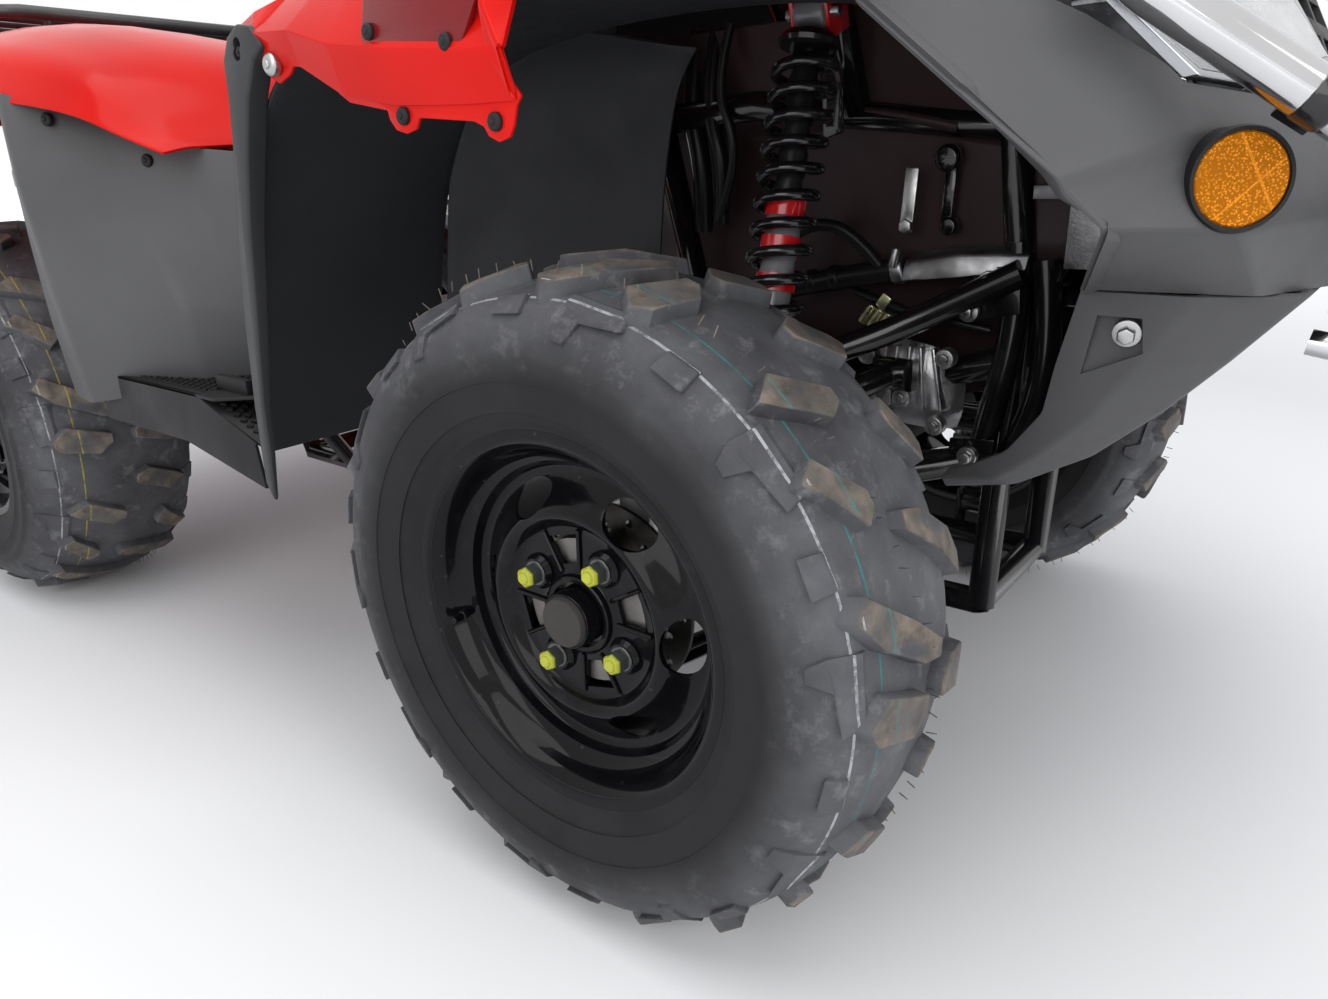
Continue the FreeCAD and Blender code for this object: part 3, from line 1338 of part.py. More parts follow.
def footboard():
    """Tray for the right foot with a turned-down outer edge and a toothed peg."""
    y_in, y_out = 236, 548
    top = up(BOARD_TOP)
    profile = [(y_in, top - s.board_wall), (y_in, top), (y_out, top), (y_out, top - 66),
               (y_out - s.board_wall, top - 66), (y_out - s.board_wall, top - s.board_wall)]
    start = fx(-432.1)
    end = rx(s.tyre_radius + ARCH_ROOM)
    corners = [V(start, -front_out(y), z) for y, z in profile]
    tray = prism(corners, V(0, 0, 0), V(end - start, 0, 0))
    front_wall = Part.makeBox(s.board_wall, front_out(y_out) - front_out(y_in), 40,
                              V(start - s.board_wall, -front_out(y_out), top - s.board_wall))
    teeth = []
    peg_x = (start + end) / 2 + 96
    for tooth in range(5):
        y = front_out(300 + 48 * tooth)
        teeth.append(Part.makeBox(64, 9, 20, V(peg_x - 32, -y, top - 2)))
    edge_room = Part.makeBox(60, 60, 200, V(fx(-452) - s.seat_gap, -front_out(536) - 60, top - 100))
    return joined([tray, front_wall] + teeth).cut(edge_room)


def rear_flare():
    """Grey side panel in front of the rear wheel."""
    arch = rx(s.tyre_radius + ARCH_ROOM)
    stations = [(up(z), [(arch + x, -rear_out(y)) for x, y in line]) for z, line in REAR_FLARE]
    board_end = arch - s.seat_gap
    board_room = Part.makeBox(500, 800, 200, V(board_end, -800, up(BOARD_TOP) + s.seat_gap - 200))
    return skin(stations, s.panel_wall, at_z).cut(board_room)


def rear_flare_lip():
    """Lip below the outer edge of the rear fender."""
    stations = []
    for x, half in REAR_FENDER[2:]:
        y, z = half[0]
        stations.append((rx(x), [(-rear_out(y - 4), up(z) - 34), (-rear_out(y), up(z) - 3.2)]))
    return skin(stations, s.panel_wall, at_x)


def reflector():
    """Round side reflector in a cup moulded to the nose."""
    middle = V(fx(434), -front_out(397), up(349))
    way = V(0.84, -0.55, 0).normalize()
    cup = bar(s.reflector_radius, 40, middle - way * 30, way, 20)
    return cup.cut(nose_solid(s.seat_gap))


def tail_light():
    """Lamp at the back of the rear fender."""
    return Part.makeBox(30, 110, 52, V(rx(-375) - 30 - s.seat_gap, -rear_out(360), up(456)))


fender_shape = front_fender()
rear_fender_shape = rear_fender()
nose_shape = front_fascia()
chin_shape = front_guard()
tank_shape = tank_cover()
mudguard_shape = mudguard()
board_shape = footboard()

subpart("front_fender", feature("front_fender", fender_shape))
subpart("rear_fender", feature("rear_fender", rear_fender_shape))
subpart("front_fascia", feature("front_fascia", nose_shape))
subpart("front_guard", feature("front_guard", chin_shape))
subpart("front_grille", feature("front_grille", front_grille()))
subpart("headlights", pair("headlights", feature("headlight", headlight())))
subpart("tank_cover", feature("tank_cover", tank_shape))
subpart("seat", feature("seat", seat()))
subpart("mudguards", pair("mudguards", feature("mudguard", mudguard_shape)))
subpart("fuel_cap", feature("fuel_cap", fuel_cap()))
subpart("splash_panels", pair("splash_panels", feature("splash_panel", splash_panel())))
subpart("mudguard_edges", pair("mudguard_edges", feature("mudguard_edge", mudguard_edge())))
subpart("footboards", pair("footboards", feature("footboard", board_shape)))
subpart("rear_flares", pair("rear_flares", feature("rear_flare", rear_flare())))
subpart("rear_flare_lips", pair("rear_flare_lips", feature("rear_flare_lip", rear_flare_lip())))
subpart("reflectors", pair("reflectors", feature("reflector", reflector())))
subpart("tail_lights", pair("tail_lights", feature("tail_light", tail_light())))


# Racks and bumper

def rack(front, back, z, bars, legs, shape):
    """Tube rack with a rail round it, cross bars and legs down to a panel."""
    half = s.rack_half_width
    r = s.rack_radius
    right = tube([V(front, 0, z), V(front, -half + 40, z), V(front - 40, -half, z), V(back + 30, -half, z),
                  V(back, -half + 30, z), V(back, 0, z)], r)
    pieces = [right, mirror_shape(right)]
    for count in range(bars):
        x = back + (front - back) * (count + 1) / (bars + 1)
        pieces.append(tube([V(x, -half, z), V(x, half, z)], r * 0.8, 6))
    for y in (-half * 0.45, 0, half * 0.45):
        pieces.append(tube([V(front, y, z), V(back, y, z)], r * 0.8, 6))
    for x, y in legs:
        for side in (-1, 1):
            pieces.append(rest_against(shape, V(x, side * y, z), V(0, 0, -1), r))
    return joined(pieces)


rack_leg_y = s.rack_half_width * 0.74
front_rack_shape = rack(fx(238), fx(-108), up(s.front_rack_rise), 4, [(fx(169), rack_leg_y), (fx(-39), rack_leg_y)],
                        fender_shape)
rear_rack_shape = rack(rx(40), rx(-345), up(s.rear_rack_rise), 4, [(rx(-37), rack_leg_y), (rx(-268), rack_leg_y)],
                       rear_fender_shape)
subpart("front_rack", feature("front_rack", front_rack_shape))
subpart("rear_rack", feature("rear_rack", rear_rack_shape))


def front_bumper():
    """Bright tube from the front rack down and round the nose, with a stay to the frame."""
    r = s.bumper_radius
    rack_front = fx(238) + corner_reach(s.rack_radius, 8)
    rack_end = V(rack_front + s.seat_gap, -340, up(s.front_rack_rise))
    right = [rack_end, rack_end + V(26, 0, 0), V(fx(330), -front_out(402), up(560)), V(fx(356), -front_out(440), up(462)),
             V(fx(468), -front_out(400), up(384)), V(fx(514), -front_out(318), up(352)),
             V(fx(530), -front_out(120), up(336))]
    left = [V(point.x, -point.y, point.z) for point in reversed(right)]
    hoop = tube(rounded(right + left, 40, 2), r)
    stays = []
    for side in (-1, 1):
        top = V(fx(512), side * front_out(250), up(345))
        knee = V(fx(486), side * 130, up(212))
        foot = rest_point(chin_shape, knee, V(-1, 0, 0), r * 0.75)
        stays.append(tube([top, V(fx(508), side * 200, up(270)), knee, foot], r * 0.75))
    return joined([hoop] + stays)


subpart("front_bumper", feature("front_bumper", front_bumper()))
subpart("frame", feature("frame", frame()))


# Check and export

doc.recompute()
broken = [item.Name for item in doc.Objects if {"Invalid", "Error"} & set(item.State)]
for item in SUBPARTS:
    if item.Shape.isNull() or not item.Shape.isValid() or not item.Shape.Solids:
        broken.append(item.Label)
if broken:
    raise RuntimeError("not sound: " + ", ".join(broken))
for item in SUBPARTS:
    item.Shape.exportStep(f"parts/{item.Label}.step")
print(len(SUBPARTS), "sub-parts written")
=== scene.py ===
"""Looks of a utility quad bike, built round its packed construction model."""

import logging
import math
from collections.abc import Callable
from dataclasses import dataclass, field
from enum import Enum
from functools import partial

import bpy
from mathutils import Matrix, Vector


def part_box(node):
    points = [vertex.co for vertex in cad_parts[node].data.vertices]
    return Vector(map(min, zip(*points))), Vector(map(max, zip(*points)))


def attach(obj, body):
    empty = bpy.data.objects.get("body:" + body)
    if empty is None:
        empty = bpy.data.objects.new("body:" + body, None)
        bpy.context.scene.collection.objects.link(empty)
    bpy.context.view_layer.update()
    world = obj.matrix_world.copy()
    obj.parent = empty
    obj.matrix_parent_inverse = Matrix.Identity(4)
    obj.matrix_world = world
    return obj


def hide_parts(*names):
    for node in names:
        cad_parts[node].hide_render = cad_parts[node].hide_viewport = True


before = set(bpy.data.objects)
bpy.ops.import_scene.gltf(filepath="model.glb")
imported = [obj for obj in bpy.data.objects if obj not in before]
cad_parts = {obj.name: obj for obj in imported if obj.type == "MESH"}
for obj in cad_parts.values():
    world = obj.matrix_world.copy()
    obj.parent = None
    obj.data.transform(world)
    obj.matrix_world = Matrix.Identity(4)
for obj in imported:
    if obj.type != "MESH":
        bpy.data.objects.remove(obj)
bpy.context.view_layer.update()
LOG = logging.getLogger("quad")
Point = tuple[float, float, float]
Pair = tuple[float, float]
Thing = bpy.types.Object
Socket = bpy.types.NodeSocket

FRONT_AXLE = Vector((0.5656, 0.0, 0.3))
REAR_AXLE = Vector((-0.7044, 0.0, 0.3))
FRONT_HALF_TRACK, REAR_HALF_TRACK = 0.47, 0.46
RIGHT, LEFT = -1.0, 1.0


def from_front(x: float, y: float, z: float) -> Point:
    """Place given in mm ahead of the front axle, to the left, and above the floor."""
    return (FRONT_AXLE.x + x / 1000, y / 1000, z / 1000)


class Grain(Enum):
    """Surface that a moulded plastic was given in its tool."""

    SMOOTH = "smooth"
    FINE = "fine"
    LEATHER = "leather"


class Tree:
    """Short calls for a node tree."""

    def __init__(self, owner: bpy.types.ID) -> None:
        """Empties the owner's node tree."""
        owner.use_nodes = True
        self.tree = owner.node_tree
        self.tree.nodes.clear()

    def add(self, kind: str, feeds: dict[str | int, object], **settings: object) -> bpy.types.Node:
        """Adds a node.

        Args:
            kind: its type, without ShaderNode in front.
            feeds: a socket or a value for each input.
            settings: its properties.

        Returns:
            The node.
        """
        node = self.tree.nodes.new(f"ShaderNode{kind}")
        for name, value in settings.items():
            setattr(node, name, value)
        for name, value in feeds.items():
            if isinstance(value, Socket):
                self.tree.links.new(value, node.inputs[name])
            else:
                node.inputs[name].default_value = value
        return node

    def math(self, kind: str, *values: object, clamp: bool = False) -> Socket:
        """Result of a sum over sockets or plain numbers."""
        return self.add("Math", dict(enumerate(values)), operation=kind, use_clamp=clamp).outputs[0]

    def mix(self, share: object, one: object, two: object) -> Socket:
        """Mix of two colours, each a socket or a plain colour."""
        one, two = [(*colour, 1.0) if isinstance(colour, tuple) else colour for colour in (one, two)]
        return self.add("Mix", {0: share, 6: one, 7: two}, data_type="RGBA").outputs[2]


class Nodes(Tree):
    """Node tree of one material, round its principled shader."""

    def __init__(self, name: str, **sockets: float) -> None:
        """Starts a material, the shader's sockets named with underscores for spaces."""
        self.material = bpy.data.materials.new(name)
        super().__init__(self.material)
        named = {socket.replace("_", " "): value for socket, value in sockets.items()}
        self.shader = self.add("BsdfPrincipled", named)
        self.add("OutputMaterial", {"Surface": self.shader.outputs["BSDF"]})
        self.coords = self.add("TexCoord", {}).outputs

    def feed(self, name: str, socket: Socket) -> None:
        """Feeds one of the shader's sockets."""
        self.tree.links.new(socket, self.shader.inputs[name])

    def noise(self, scale: float, detail: float = 4.0, rough: float = 0.55) -> Socket:
        """Noise over the machine's frame."""
        feeds = {"Scale": scale, "Detail": detail, "Roughness": rough, "Vector": self.coords["Object"]}
        return self.add("TexNoise", feeds).outputs["Fac"]

    def cells(self, scale: float, feature: str = "F1") -> Socket:
        """Distance to the nearest of many scattered points."""
        feeds = {"Scale": scale, "Vector": self.coords["Object"]}
        return self.add("TexVoronoi", feeds, feature=feature).outputs["Distance"]

    def ramp(self, source: Socket, *stops: tuple[float, object]) -> Socket:
        """Colour ramp over a value, each stop a place with a colour or a grey."""
        node = self.add("ValToRGB", {"Fac": source})
        elements = node.color_ramp.elements
        while len(elements) < len(stops):
            elements.new(0.5)
        for element, (place, colour) in zip(elements, stops):
            element.position = place
            element.color = (*colour, 1.0) if isinstance(colour, tuple) else (colour, colour, colour, 1.0)
        return node.outputs["Color"]

    def bump(self, height: Socket, strength: float, distance: float) -> None:
        """Relief from a height, into the shader's normal."""
        feeds = {"Strength": strength, "Distance": distance, "Height": height}
        self.feed("Normal", self.add("Bump", feeds).outputs["Normal"])

    def split(self, name: str) -> tuple[Socket, ...]:
        """X, Y and Z of the place (Object) or of the way that the surface faces (Normal)."""
        return tuple(self.add("SeparateXYZ", {"Vector": self.coords[name]}).outputs)


def tinted(colour: Point, times: float, plus: float = 0.0) -> Point:
    """A colour made darker or paler."""
    return tuple(min(1.0, share * times + plus) for share in colour)


@dataclass(frozen=True)
class Plastic:
    """Moulded panel plastic with a grain, soft colour drift and dust."""

    name: str
    colour: Point
    rough: float = 0.4
    grain: Grain = Grain.FINE
    coat: float = 0.0
    shine: float = 0.22

    def make(self) -> bpy.types.Material:
        """Builds the material."""
        n = Nodes(self.name, Coat_Weight=self.coat, Coat_Roughness=0.06, Specular_IOR_Level=self.shine)
        dark, pale = tinted(self.colour, 0.86), tinted(self.colour, 1.1, 0.002)
        n.feed("Base Color", n.ramp(n.noise(3.0, 3.0), (0.35, dark), (0.65, pale)))
        low, high = self.rough * 0.85, min(1.0, self.rough * 1.2)
        n.feed("Roughness", n.ramp(n.noise(14.0, 6.0, 0.65), (0.35, low), (0.7, high)))
        if self.grain is Grain.SMOOTH:
            n.bump(n.noise(60.0, 2.0), 0.05, 0.0006)
        elif self.grain is Grain.FINE:
            n.bump(n.noise(900.0, 2.0), 0.28, 0.0005)
        else:
            n.bump(n.cells(420.0, "SMOOTH_F1"), 0.35, 0.0008)
        return n.material


@dataclass(frozen=True)
class Paint:
    """Paint on metal, with orange peel and dust."""

    name: str
    colour: Point
    rough: float = 0.25
    coat: float = 0.6
    peel: float = 0.1

    def make(self) -> bpy.types.Material:
        """Builds the material."""
        n = Nodes(self.name, Coat_Weight=self.coat, Coat_Roughness=0.05, Specular_IOR_Level=0.3)
        pale = tinted(self.colour, 1.25, 0.012)
        n.feed("Base Color", n.ramp(n.noise(18.0, 6.0, 0.6), (0.5, self.colour), (0.75, pale)))
        n.feed("Roughness", n.ramp(n.noise(7.0, 5.0), (0.3, self.rough * 0.7), (0.7, self.rough * 1.3)))
        n.bump(n.noise(160.0, 2.0), self.peel, 0.0006)
        return n.material


@dataclass(frozen=True)
class Metal:
    """Bare, plated or cast metal."""

    name: str
    colour: Point
    rough: float = 0.3
    cast: float = 0.0
    stain: float = 0.7

    def make(self) -> bpy.types.Material:
        """Builds the material."""
        n = Nodes(self.name, Metallic=1.0)
        dark = tinted(self.colour, self.stain)
        n.feed("Base Color", n.ramp(n.noise(30.0, 5.0), (0.3, dark), (0.6, self.colour)))
        low, high = self.rough * 0.6, min(1.0, self.rough * 1.5)
        n.feed("Roughness", n.ramp(n.noise(55.0, 5.0), (0.3, low), (0.75, high)))
        if self.cast:
            n.bump(n.noise(420.0, 3.0), self.cast, 0.0009)
        return n.material


# how far the tread falls from its middle to the lug's edge, and how steeply towards that edge
CROWN_DROP = 0.0135
CROWN_POWER = 2.4


@dataclass(frozen=True)
class TyreRubber:
    """Tyre rubber with dust and a painted highlight towards the tread, tan lug tips and two painted lines
    round the tread.
    """

    name: str
    centre: Vector
    middle: float
    edge: float
    track: float
    tip: float
    lines: tuple[tuple[float, Point], ...]

    # radius where the dust and the painted highlight start, and how fast they grow with the radius
    DUST_AND_HIGHLIGHT_RADIUS = 0.214
    DUST_AND_HIGHLIGHT_SLOPE = 18.0
    # depth of tan wear below the tips, and how fast it ends
    WORN = 0.0032
    WORN_SLOPE = 700.0
    LINE_HALF = 0.0009
    # least share of the surface's normal that faces away from the axle on the tread
    TREAD_FACES = 0.74

    def make(self) -> bpy.types.Material:
        """Builds the material."""
        n = Nodes(self.name, Specular_IOR_Level=0.14)
        x, y, z = n.split("Object")
        x = n.math("SUBTRACT", x, self.centre.x)
        z = n.math("SUBTRACT", z, self.centre.z)
        side = n.math("ABSOLUTE", y)
        radius = n.math("SQRT", n.math("ADD", n.math("MULTIPLY", x, x), n.math("MULTIPLY", z, z)))
        dust = n.noise(9.0, 8.0, 0.65)
        # paler outwards from the bead: partly dust, partly a painted highlight that stands for the light from
        # above on the upper sidewall and tread
        rise = n.math("ADD", n.math("MULTIPLY", radius, self.DUST_AND_HIGHLIGHT_SLOPE), -self.DUST_AND_HIGHLIGHT_SLOPE * self.DUST_AND_HIGHLIGHT_RADIUS,
                      clamp=True)
        colour = n.mix(rise, n.ramp(dust, (0.35, (0.013, 0.013, 0.014)), (0.7, (0.027, 0.027, 0.028))),
                       n.ramp(dust, (0.35, (0.055, 0.055, 0.06)), (0.6, (0.105, 0.106, 0.114)),
                              (0.85, (0.18, 0.18, 0.183))))
        chalk = n.ramp(n.noise(38.0, 7.0, 0.7), (0.55, 0.0), (0.72, 0.55))
        colour = n.mix(n.math("MULTIPLY", chalk, rise), colour, (0.25, 0.25, 0.255))
        tan = n.ramp(n.noise(60.0, 6.0), (0.3, (0.075, 0.064, 0.052)), (0.7, (0.25, 0.205, 0.16)))
        colour = n.mix(n.math("MULTIPLY", self.wear(n, side, radius), 0.85), colour, tan)
        across = n.math("SUBTRACT", side, self.track)
        faded = n.ramp(n.noise(70.0, 5.0, 0.8), (0.38, 0.1), (0.55, 0.8))
        on_tread = n.math("GREATER_THAN", self.outwards(n, x, z, radius), self.TREAD_FACES)
        for offset, paint in self.lines:
            gap = n.math("ABSOLUTE", n.math("SUBTRACT", across, offset))
            line = n.math("MULTIPLY", n.math("LESS_THAN", gap, self.LINE_HALF), faded)
            colour = n.mix(n.math("MULTIPLY", line, on_tread), colour, paint)
        n.feed("Base Color", colour)
        n.feed("Roughness", n.ramp(dust, (0.3, 0.5), (0.7, 0.78)))
        n.bump(n.noise(500.0, 3.0), 0.25, 0.0006)
        return n.material

    def wear(self, n: Nodes, side: Socket, radius: Socket) -> Socket:
        """Patchy wear on the lugs' tips, from the place across and the radius."""
        out = n.math("ABSOLUTE", n.math("SUBTRACT", side, self.middle))
        share = n.math("POWER", n.math("MULTIPLY", out, 1 / self.edge), CROWN_POWER)
        drop = n.math("MULTIPLY", share, CROWN_DROP)
        depth = n.math("SUBTRACT", n.math("ADD", radius, drop), self.tip - self.WORN)
        patch = n.ramp(n.noise(24.0, 6.0, 0.7), (0.3, 0.35), (0.6, 1.0))
        return n.math("MULTIPLY", n.math("MULTIPLY", depth, self.WORN_SLOPE, clamp=True), patch)

    def outwards(self, n: Nodes, x: Socket, z: Socket, radius: Socket) -> Socket:
        """How far the surface faces away from the wheel's axle, from 0 to 1."""
        normal = n.split("Normal")
        level, rise = n.math("MULTIPLY", normal[0], x), n.math("MULTIPLY", normal[2], z)
        return n.math("DIVIDE", n.math("ADD", level, rise), radius)


@dataclass(frozen=True)
class GlossRim:
    """Thick gloss black paint on a wheel, with patches of dust and dried water marks."""

    name: str
    colour: Point = (0.004, 0.004, 0.005)

    def make(self) -> bpy.types.Material:
        """Builds the material."""
        n = Nodes(self.name, Coat_Weight=0.2, Coat_Roughness=0.03, Specular_IOR_Level=0.08)
        ring = n.ramp(n.cells(46.0), (0.05, (0.02, 0.02, 0.023)), (0.1, self.colour))
        dust = n.noise(26.0, 7.0, 0.7)
        n.feed("Base Color", n.mix(n.ramp(dust, (0.58, 0.0), (0.85, 0.5)), ring, (0.03, 0.031, 0.034)))
        n.feed("Roughness", n.ramp(dust, (0.4, 0.08), (0.75, 0.3)))
        n.bump(n.noise(34.0, 2.0), 0.05, 0.002)
        return n.material


@dataclass(frozen=True)
class Lens:
    """Coloured or clear lamp plastic."""

    name: str
    colour: Point
    clear: float = 0.0

    def make(self) -> bpy.types.Material:
        """Builds the material."""
        n = Nodes(self.name, Coat_Weight=0.8, Coat_Roughness=0.03, Transmission_Weight=self.clear)
        glow = n.cells(900.0)
        n.feed("Base Color", n.ramp(glow, (0.2, self.colour), (0.6, tinted(self.colour, 0.8))))
        n.feed("Roughness", n.ramp(n.noise(40.0), (0.3, 0.05), (0.7, 0.12)))
        n.bump(glow, 0.06, 0.0006)
        return n.material


@dataclass(frozen=True)
class Reflex:
    """Round reflex reflector: fine prisms in four quarters, parted by a pale cross."""

    name: str
    colour: Point
    centre: Point

    # slopes of the two lines of the cross, and half the width of each
    SLOPES = (("ADD", 0.62), ("SUBTRACT", 0.25))
    SEAM_HALF = 0.0005

    def make(self) -> bpy.types.Material:
        """Builds the material."""
        n = Nodes(self.name, Coat_Weight=0.05, Coat_Roughness=0.03, Specular_IOR_Level=0.06)
        _, y, z = n.split("Object")
        side = n.math("SUBTRACT", n.math("ABSOLUTE", y), abs(self.centre[1]))
        rise = n.math("SUBTRACT", z, self.centre[2])
        lines = [n.math("ABSOLUTE", n.math(kind, side, n.math("MULTIPLY", rise, slope)))
                 for kind, slope in self.SLOPES]
        seam = n.math("LESS_THAN", n.math("MINIMUM", *lines), self.SEAM_HALF)
        prisms = n.cells(620.0)
        bright, deep = tinted(self.colour, 1.15, 0.02), tinted(self.colour, 0.42)
        wide = n.ramp(n.noise(45.0, 2.0), (0.35, 0.45), (0.65, 1.0))
        shade = n.mix(wide, deep, n.ramp(prisms, (0.15, bright), (0.5, deep)))
        n.feed("Base Color", n.mix(n.math("MULTIPLY", seam, 0.4), shade, bright))
        n.feed("Roughness", n.ramp(prisms, (0.2, 0.1), (0.6, 0.3)))
        n.bump(prisms, 0.35, 0.0006)
        return n.material


@dataclass(frozen=True)
class SeatVinyl:
    """Grained seat cover."""

    name: str

    def make(self) -> bpy.types.Material:
        """Builds the material."""
        n = Nodes(self.name, Sheen_Weight=0.15, Sheen_Roughness=0.5, Specular_IOR_Level=0.4)
        dark, pale = (0.02, 0.02, 0.021), (0.036, 0.036, 0.037)
        n.feed("Base Color", n.ramp(n.noise(5.0, 4.0), (0.35, dark), (0.7, pale)))
        n.feed("Roughness", n.ramp(n.noise(12.0, 5.0), (0.3, 0.48), (0.7, 0.62)))
        n.bump(n.cells(620.0, "SMOOTH_F1"), 0.5, 0.0008)
        return n.material


# painted lines: (across from the track, colour)
FRONT_LINES = ((-0.025, (0.02, 0.2, 0.2)), (0.0, (0.42, 0.43, 0.45)))
REAR_LINES = ((-0.02, (0.42, 0.34, 0.03)), (0.012, (0.4, 0.41, 0.42)))

FINISHES = (
    GlossRim("rim_gloss"),
    TyreRubber("front_rubber", FRONT_AXLE, FRONT_HALF_TRACK, 0.084, 0.55, 0.3, FRONT_LINES),
    TyreRubber("rear_rubber", REAR_AXLE, REAR_HALF_TRACK, 0.099, 0.54, 0.3, REAR_LINES),
    Plastic("red_plastic", (0.57, 0.006, 0.003), 0.22, Grain.SMOOTH, 0.05, 0.1),
    # darker red of the skirt's recess is painted shade of the recess; its fine grain is the moulding's own
    Plastic("red_recess", (0.16, 0.004, 0.006), 0.3, Grain.FINE, 0.2),
    Plastic("grey_plastic", (0.082, 0.082, 0.084), 0.48),
    Plastic("strip_plastic", (0.036, 0.037, 0.039), 0.34),
    Plastic("cap_grey", (0.04, 0.038, 0.035), 0.6),
    Plastic("black_plastic", (0.012, 0.012, 0.013), 0.5),
    Plastic("liner_plastic", (0.028, 0.029, 0.033), 0.5, Grain.LEATHER),
    Plastic("splash_plastic", (0.03, 0.015, 0.016), 0.45),
    Plastic("hose_rubber", (0.008, 0.008, 0.009), 0.35, Grain.SMOOTH),
    Plastic("grip_rubber", (0.02, 0.02, 0.02), 0.7, Grain.LEATHER),
    Paint("frame_black", (0.006, 0.006, 0.007), 0.22, 0.5),
    Paint("rack_black", (0.025, 0.025, 0.026), 0.42, 0.3, 0.35),
    Paint("spring_black", (0.006, 0.006, 0.007), 0.2, 0.5),
    Paint("shock_red", (0.5, 0.008, 0.012), 0.25),
    Paint("damper_grey", (0.16, 0.16, 0.17), 0.3),
    Paint("nut_black", (0.05, 0.055, 0.05), 0.25),
    Paint("nut_lime", (0.4, 0.43, 0.03), 0.45, 0.2),
    Metal("cast_alloy", (0.5, 0.5, 0.51), 0.42, 0.35),
    Metal("case_alloy", (0.36, 0.36, 0.37), 0.45, 0.3),
    Metal("satin_alloy", (0.36, 0.36, 0.37), 0.4, 0.1),
    Metal("bright_tube", (0.62, 0.62, 0.63), 0.09, 0.0, 0.96),
    Metal("lamp_silver", (0.42, 0.43, 0.45), 0.24, 0.0, 0.95),
    Metal("disc_steel", (0.2, 0.19, 0.18), 0.38),
    Metal("zinc_gold", (0.56, 0.55, 0.33), 0.32),
    Metal("zinc_grey", (0.5, 0.5, 0.5), 0.36),
    Metal("silencer_steel", (0.34, 0.33, 0.32), 0.4, 0.1),
    Reflex("amber_lens", (0.85, 0.27, 0.004), from_front(425, -388, 649)),
    Lens("red_lens", (0.5, 0.006, 0.008)),
    Lens("clear_lens", (0.9, 0.92, 0.94), 0.7),
    SeatVinyl("seat_vinyl"),
)

NODE_FINISH = {
    "rim_gloss": "front_rim_right front_rim_left rear_rims",
    "front_rubber": "front_tyre_right front_tyre_left",
    "rear_rubber": "rear_tyres",
    "red_plastic": "front_fender rear_fender",
    "grey_plastic": "front_fascia front_guard rear_flares rear_flare_lips mudguard_edges",
    "black_plastic": "front_grille footboards tank_cover instrument_pod hand_controls fuel_cap",
    "liner_plastic": "mudguards",
    "grip_rubber": "grips half_shafts",
    "splash_plastic": "splash_panels",
    "frame_black": "frame swing_arm steering_column control_arms_right control_arms_left",
    "rack_black": "front_rack rear_rack",
    "shock_red": "shock_absorbers rear_shock",
    "spring_black": "shock_springs",
    "cast_alloy": "front_hub_right front_hub_left rear_axle knuckle_right knuckle_left engine_cylinder",
    "case_alloy": "front_differential engine_case radiator",
    "bright_tube": "front_bumper",
    "zinc_grey": "tie_rod_right tie_rod_left handlebar",
    "silencer_steel": "exhaust",
    "amber_lens": "reflectors",
    "red_lens": "tail_lights",
    "clear_lens": "headlights",
    "seat_vinyl": "seat",
}


class Paintshop:
    """Every finish of the machine, made once."""

    def __init__(self) -> None:
        """Makes the finishes."""
        self.finish: dict[str, bpy.types.Material] = {maker.name: maker.make() for maker in FINISHES}

    def dress_frame(self) -> None:
        """Gives every node of the frame its finish in all its slots."""
        for finish, nodes in NODE_FINISH.items():
            for node in nodes.split():
                slots = bpy.data.objects[node].data.materials
                if not slots:
                    slots.append(self.finish[finish])
                for index in range(len(slots)):
                    slots[index] = self.finish[finish]


def clear() -> None:
    """Deselects everything, in object mode."""
    if bpy.context.object and bpy.context.object.mode != "OBJECT":
        bpy.ops.object.mode_set(mode="OBJECT")
    bpy.ops.object.select_all(action="DESELECT")


def only(thing: Thing) -> Thing:
    """Selects one object alone and makes it active."""
    clear()
    thing.select_set(True)
    bpy.context.view_layer.objects.active = thing
    return thing


def settle(thing: Thing) -> Thing:
    """Moves an object's place, turn and scale into its mesh."""
    only(thing)
    bpy.ops.object.transform_apply(location=True, rotation=True, scale=True)
    return thing


def turned(way: Vector) -> tuple[float, float, float]:
    """Turn that points an object's Z along a direction."""
    return tuple(Vector(way).to_track_quat("Z", "Y").to_euler())


def modified(thing: Thing, kind: str, **settings: object) -> Thing:
    """Adds a modifier to a piece and applies it."""
    only(thing)
    modifier = thing.modifiers.new(kind, kind)
    for name, value in settings.items():
        setattr(modifier, name, value)
    bpy.ops.object.modifier_apply(modifier=modifier.name)
    return thing


def bevelled(thing: Thing, width: float, segments: int, angle: float) -> Thing:
    """Rounds the edges of a piece that are sharper than an angle in degrees."""
    return modified(thing, "BEVEL", width=width, segments=segments, limit_method="ANGLE",
                    angle_limit=math.radians(angle))


def shaded(thing: Thing, angle: float) -> Thing:
    """Shades a piece smooth, but for edges sharper than an angle in degrees."""
    only(thing)
    bpy.ops.object.shade_smooth_by_angle(angle=math.radians(angle))
    return thing


def edited(thing: Thing, *steps: Callable[[], object]) -> Thing:
    """Runs operators in edit mode, each on all of a piece's mesh."""
    only(thing)
    bpy.ops.object.mode_set(mode="EDIT")
    for step in steps:
        bpy.ops.mesh.select_all(action="SELECT")
        step()
    bpy.ops.object.mode_set(mode="OBJECT")
    return thing


def soften(thing: Thing, width: float, segments: int = 2, angle: float = 30.0) -> Thing:
    """Rounds the sharp edges of a piece and shades it."""
    return shaded(bevelled(thing, width, segments, angle), 38)


def outlined(places: list[Point]) -> Thing:
    """Single face round places."""
    bpy.ops.mesh.primitive_circle_add(vertices=len(places), radius=0.1, fill_type="NGON")
    thing = only(bpy.context.object)
    for vertex, place in zip(thing.data.vertices, places):
        vertex.co = place
    return thing


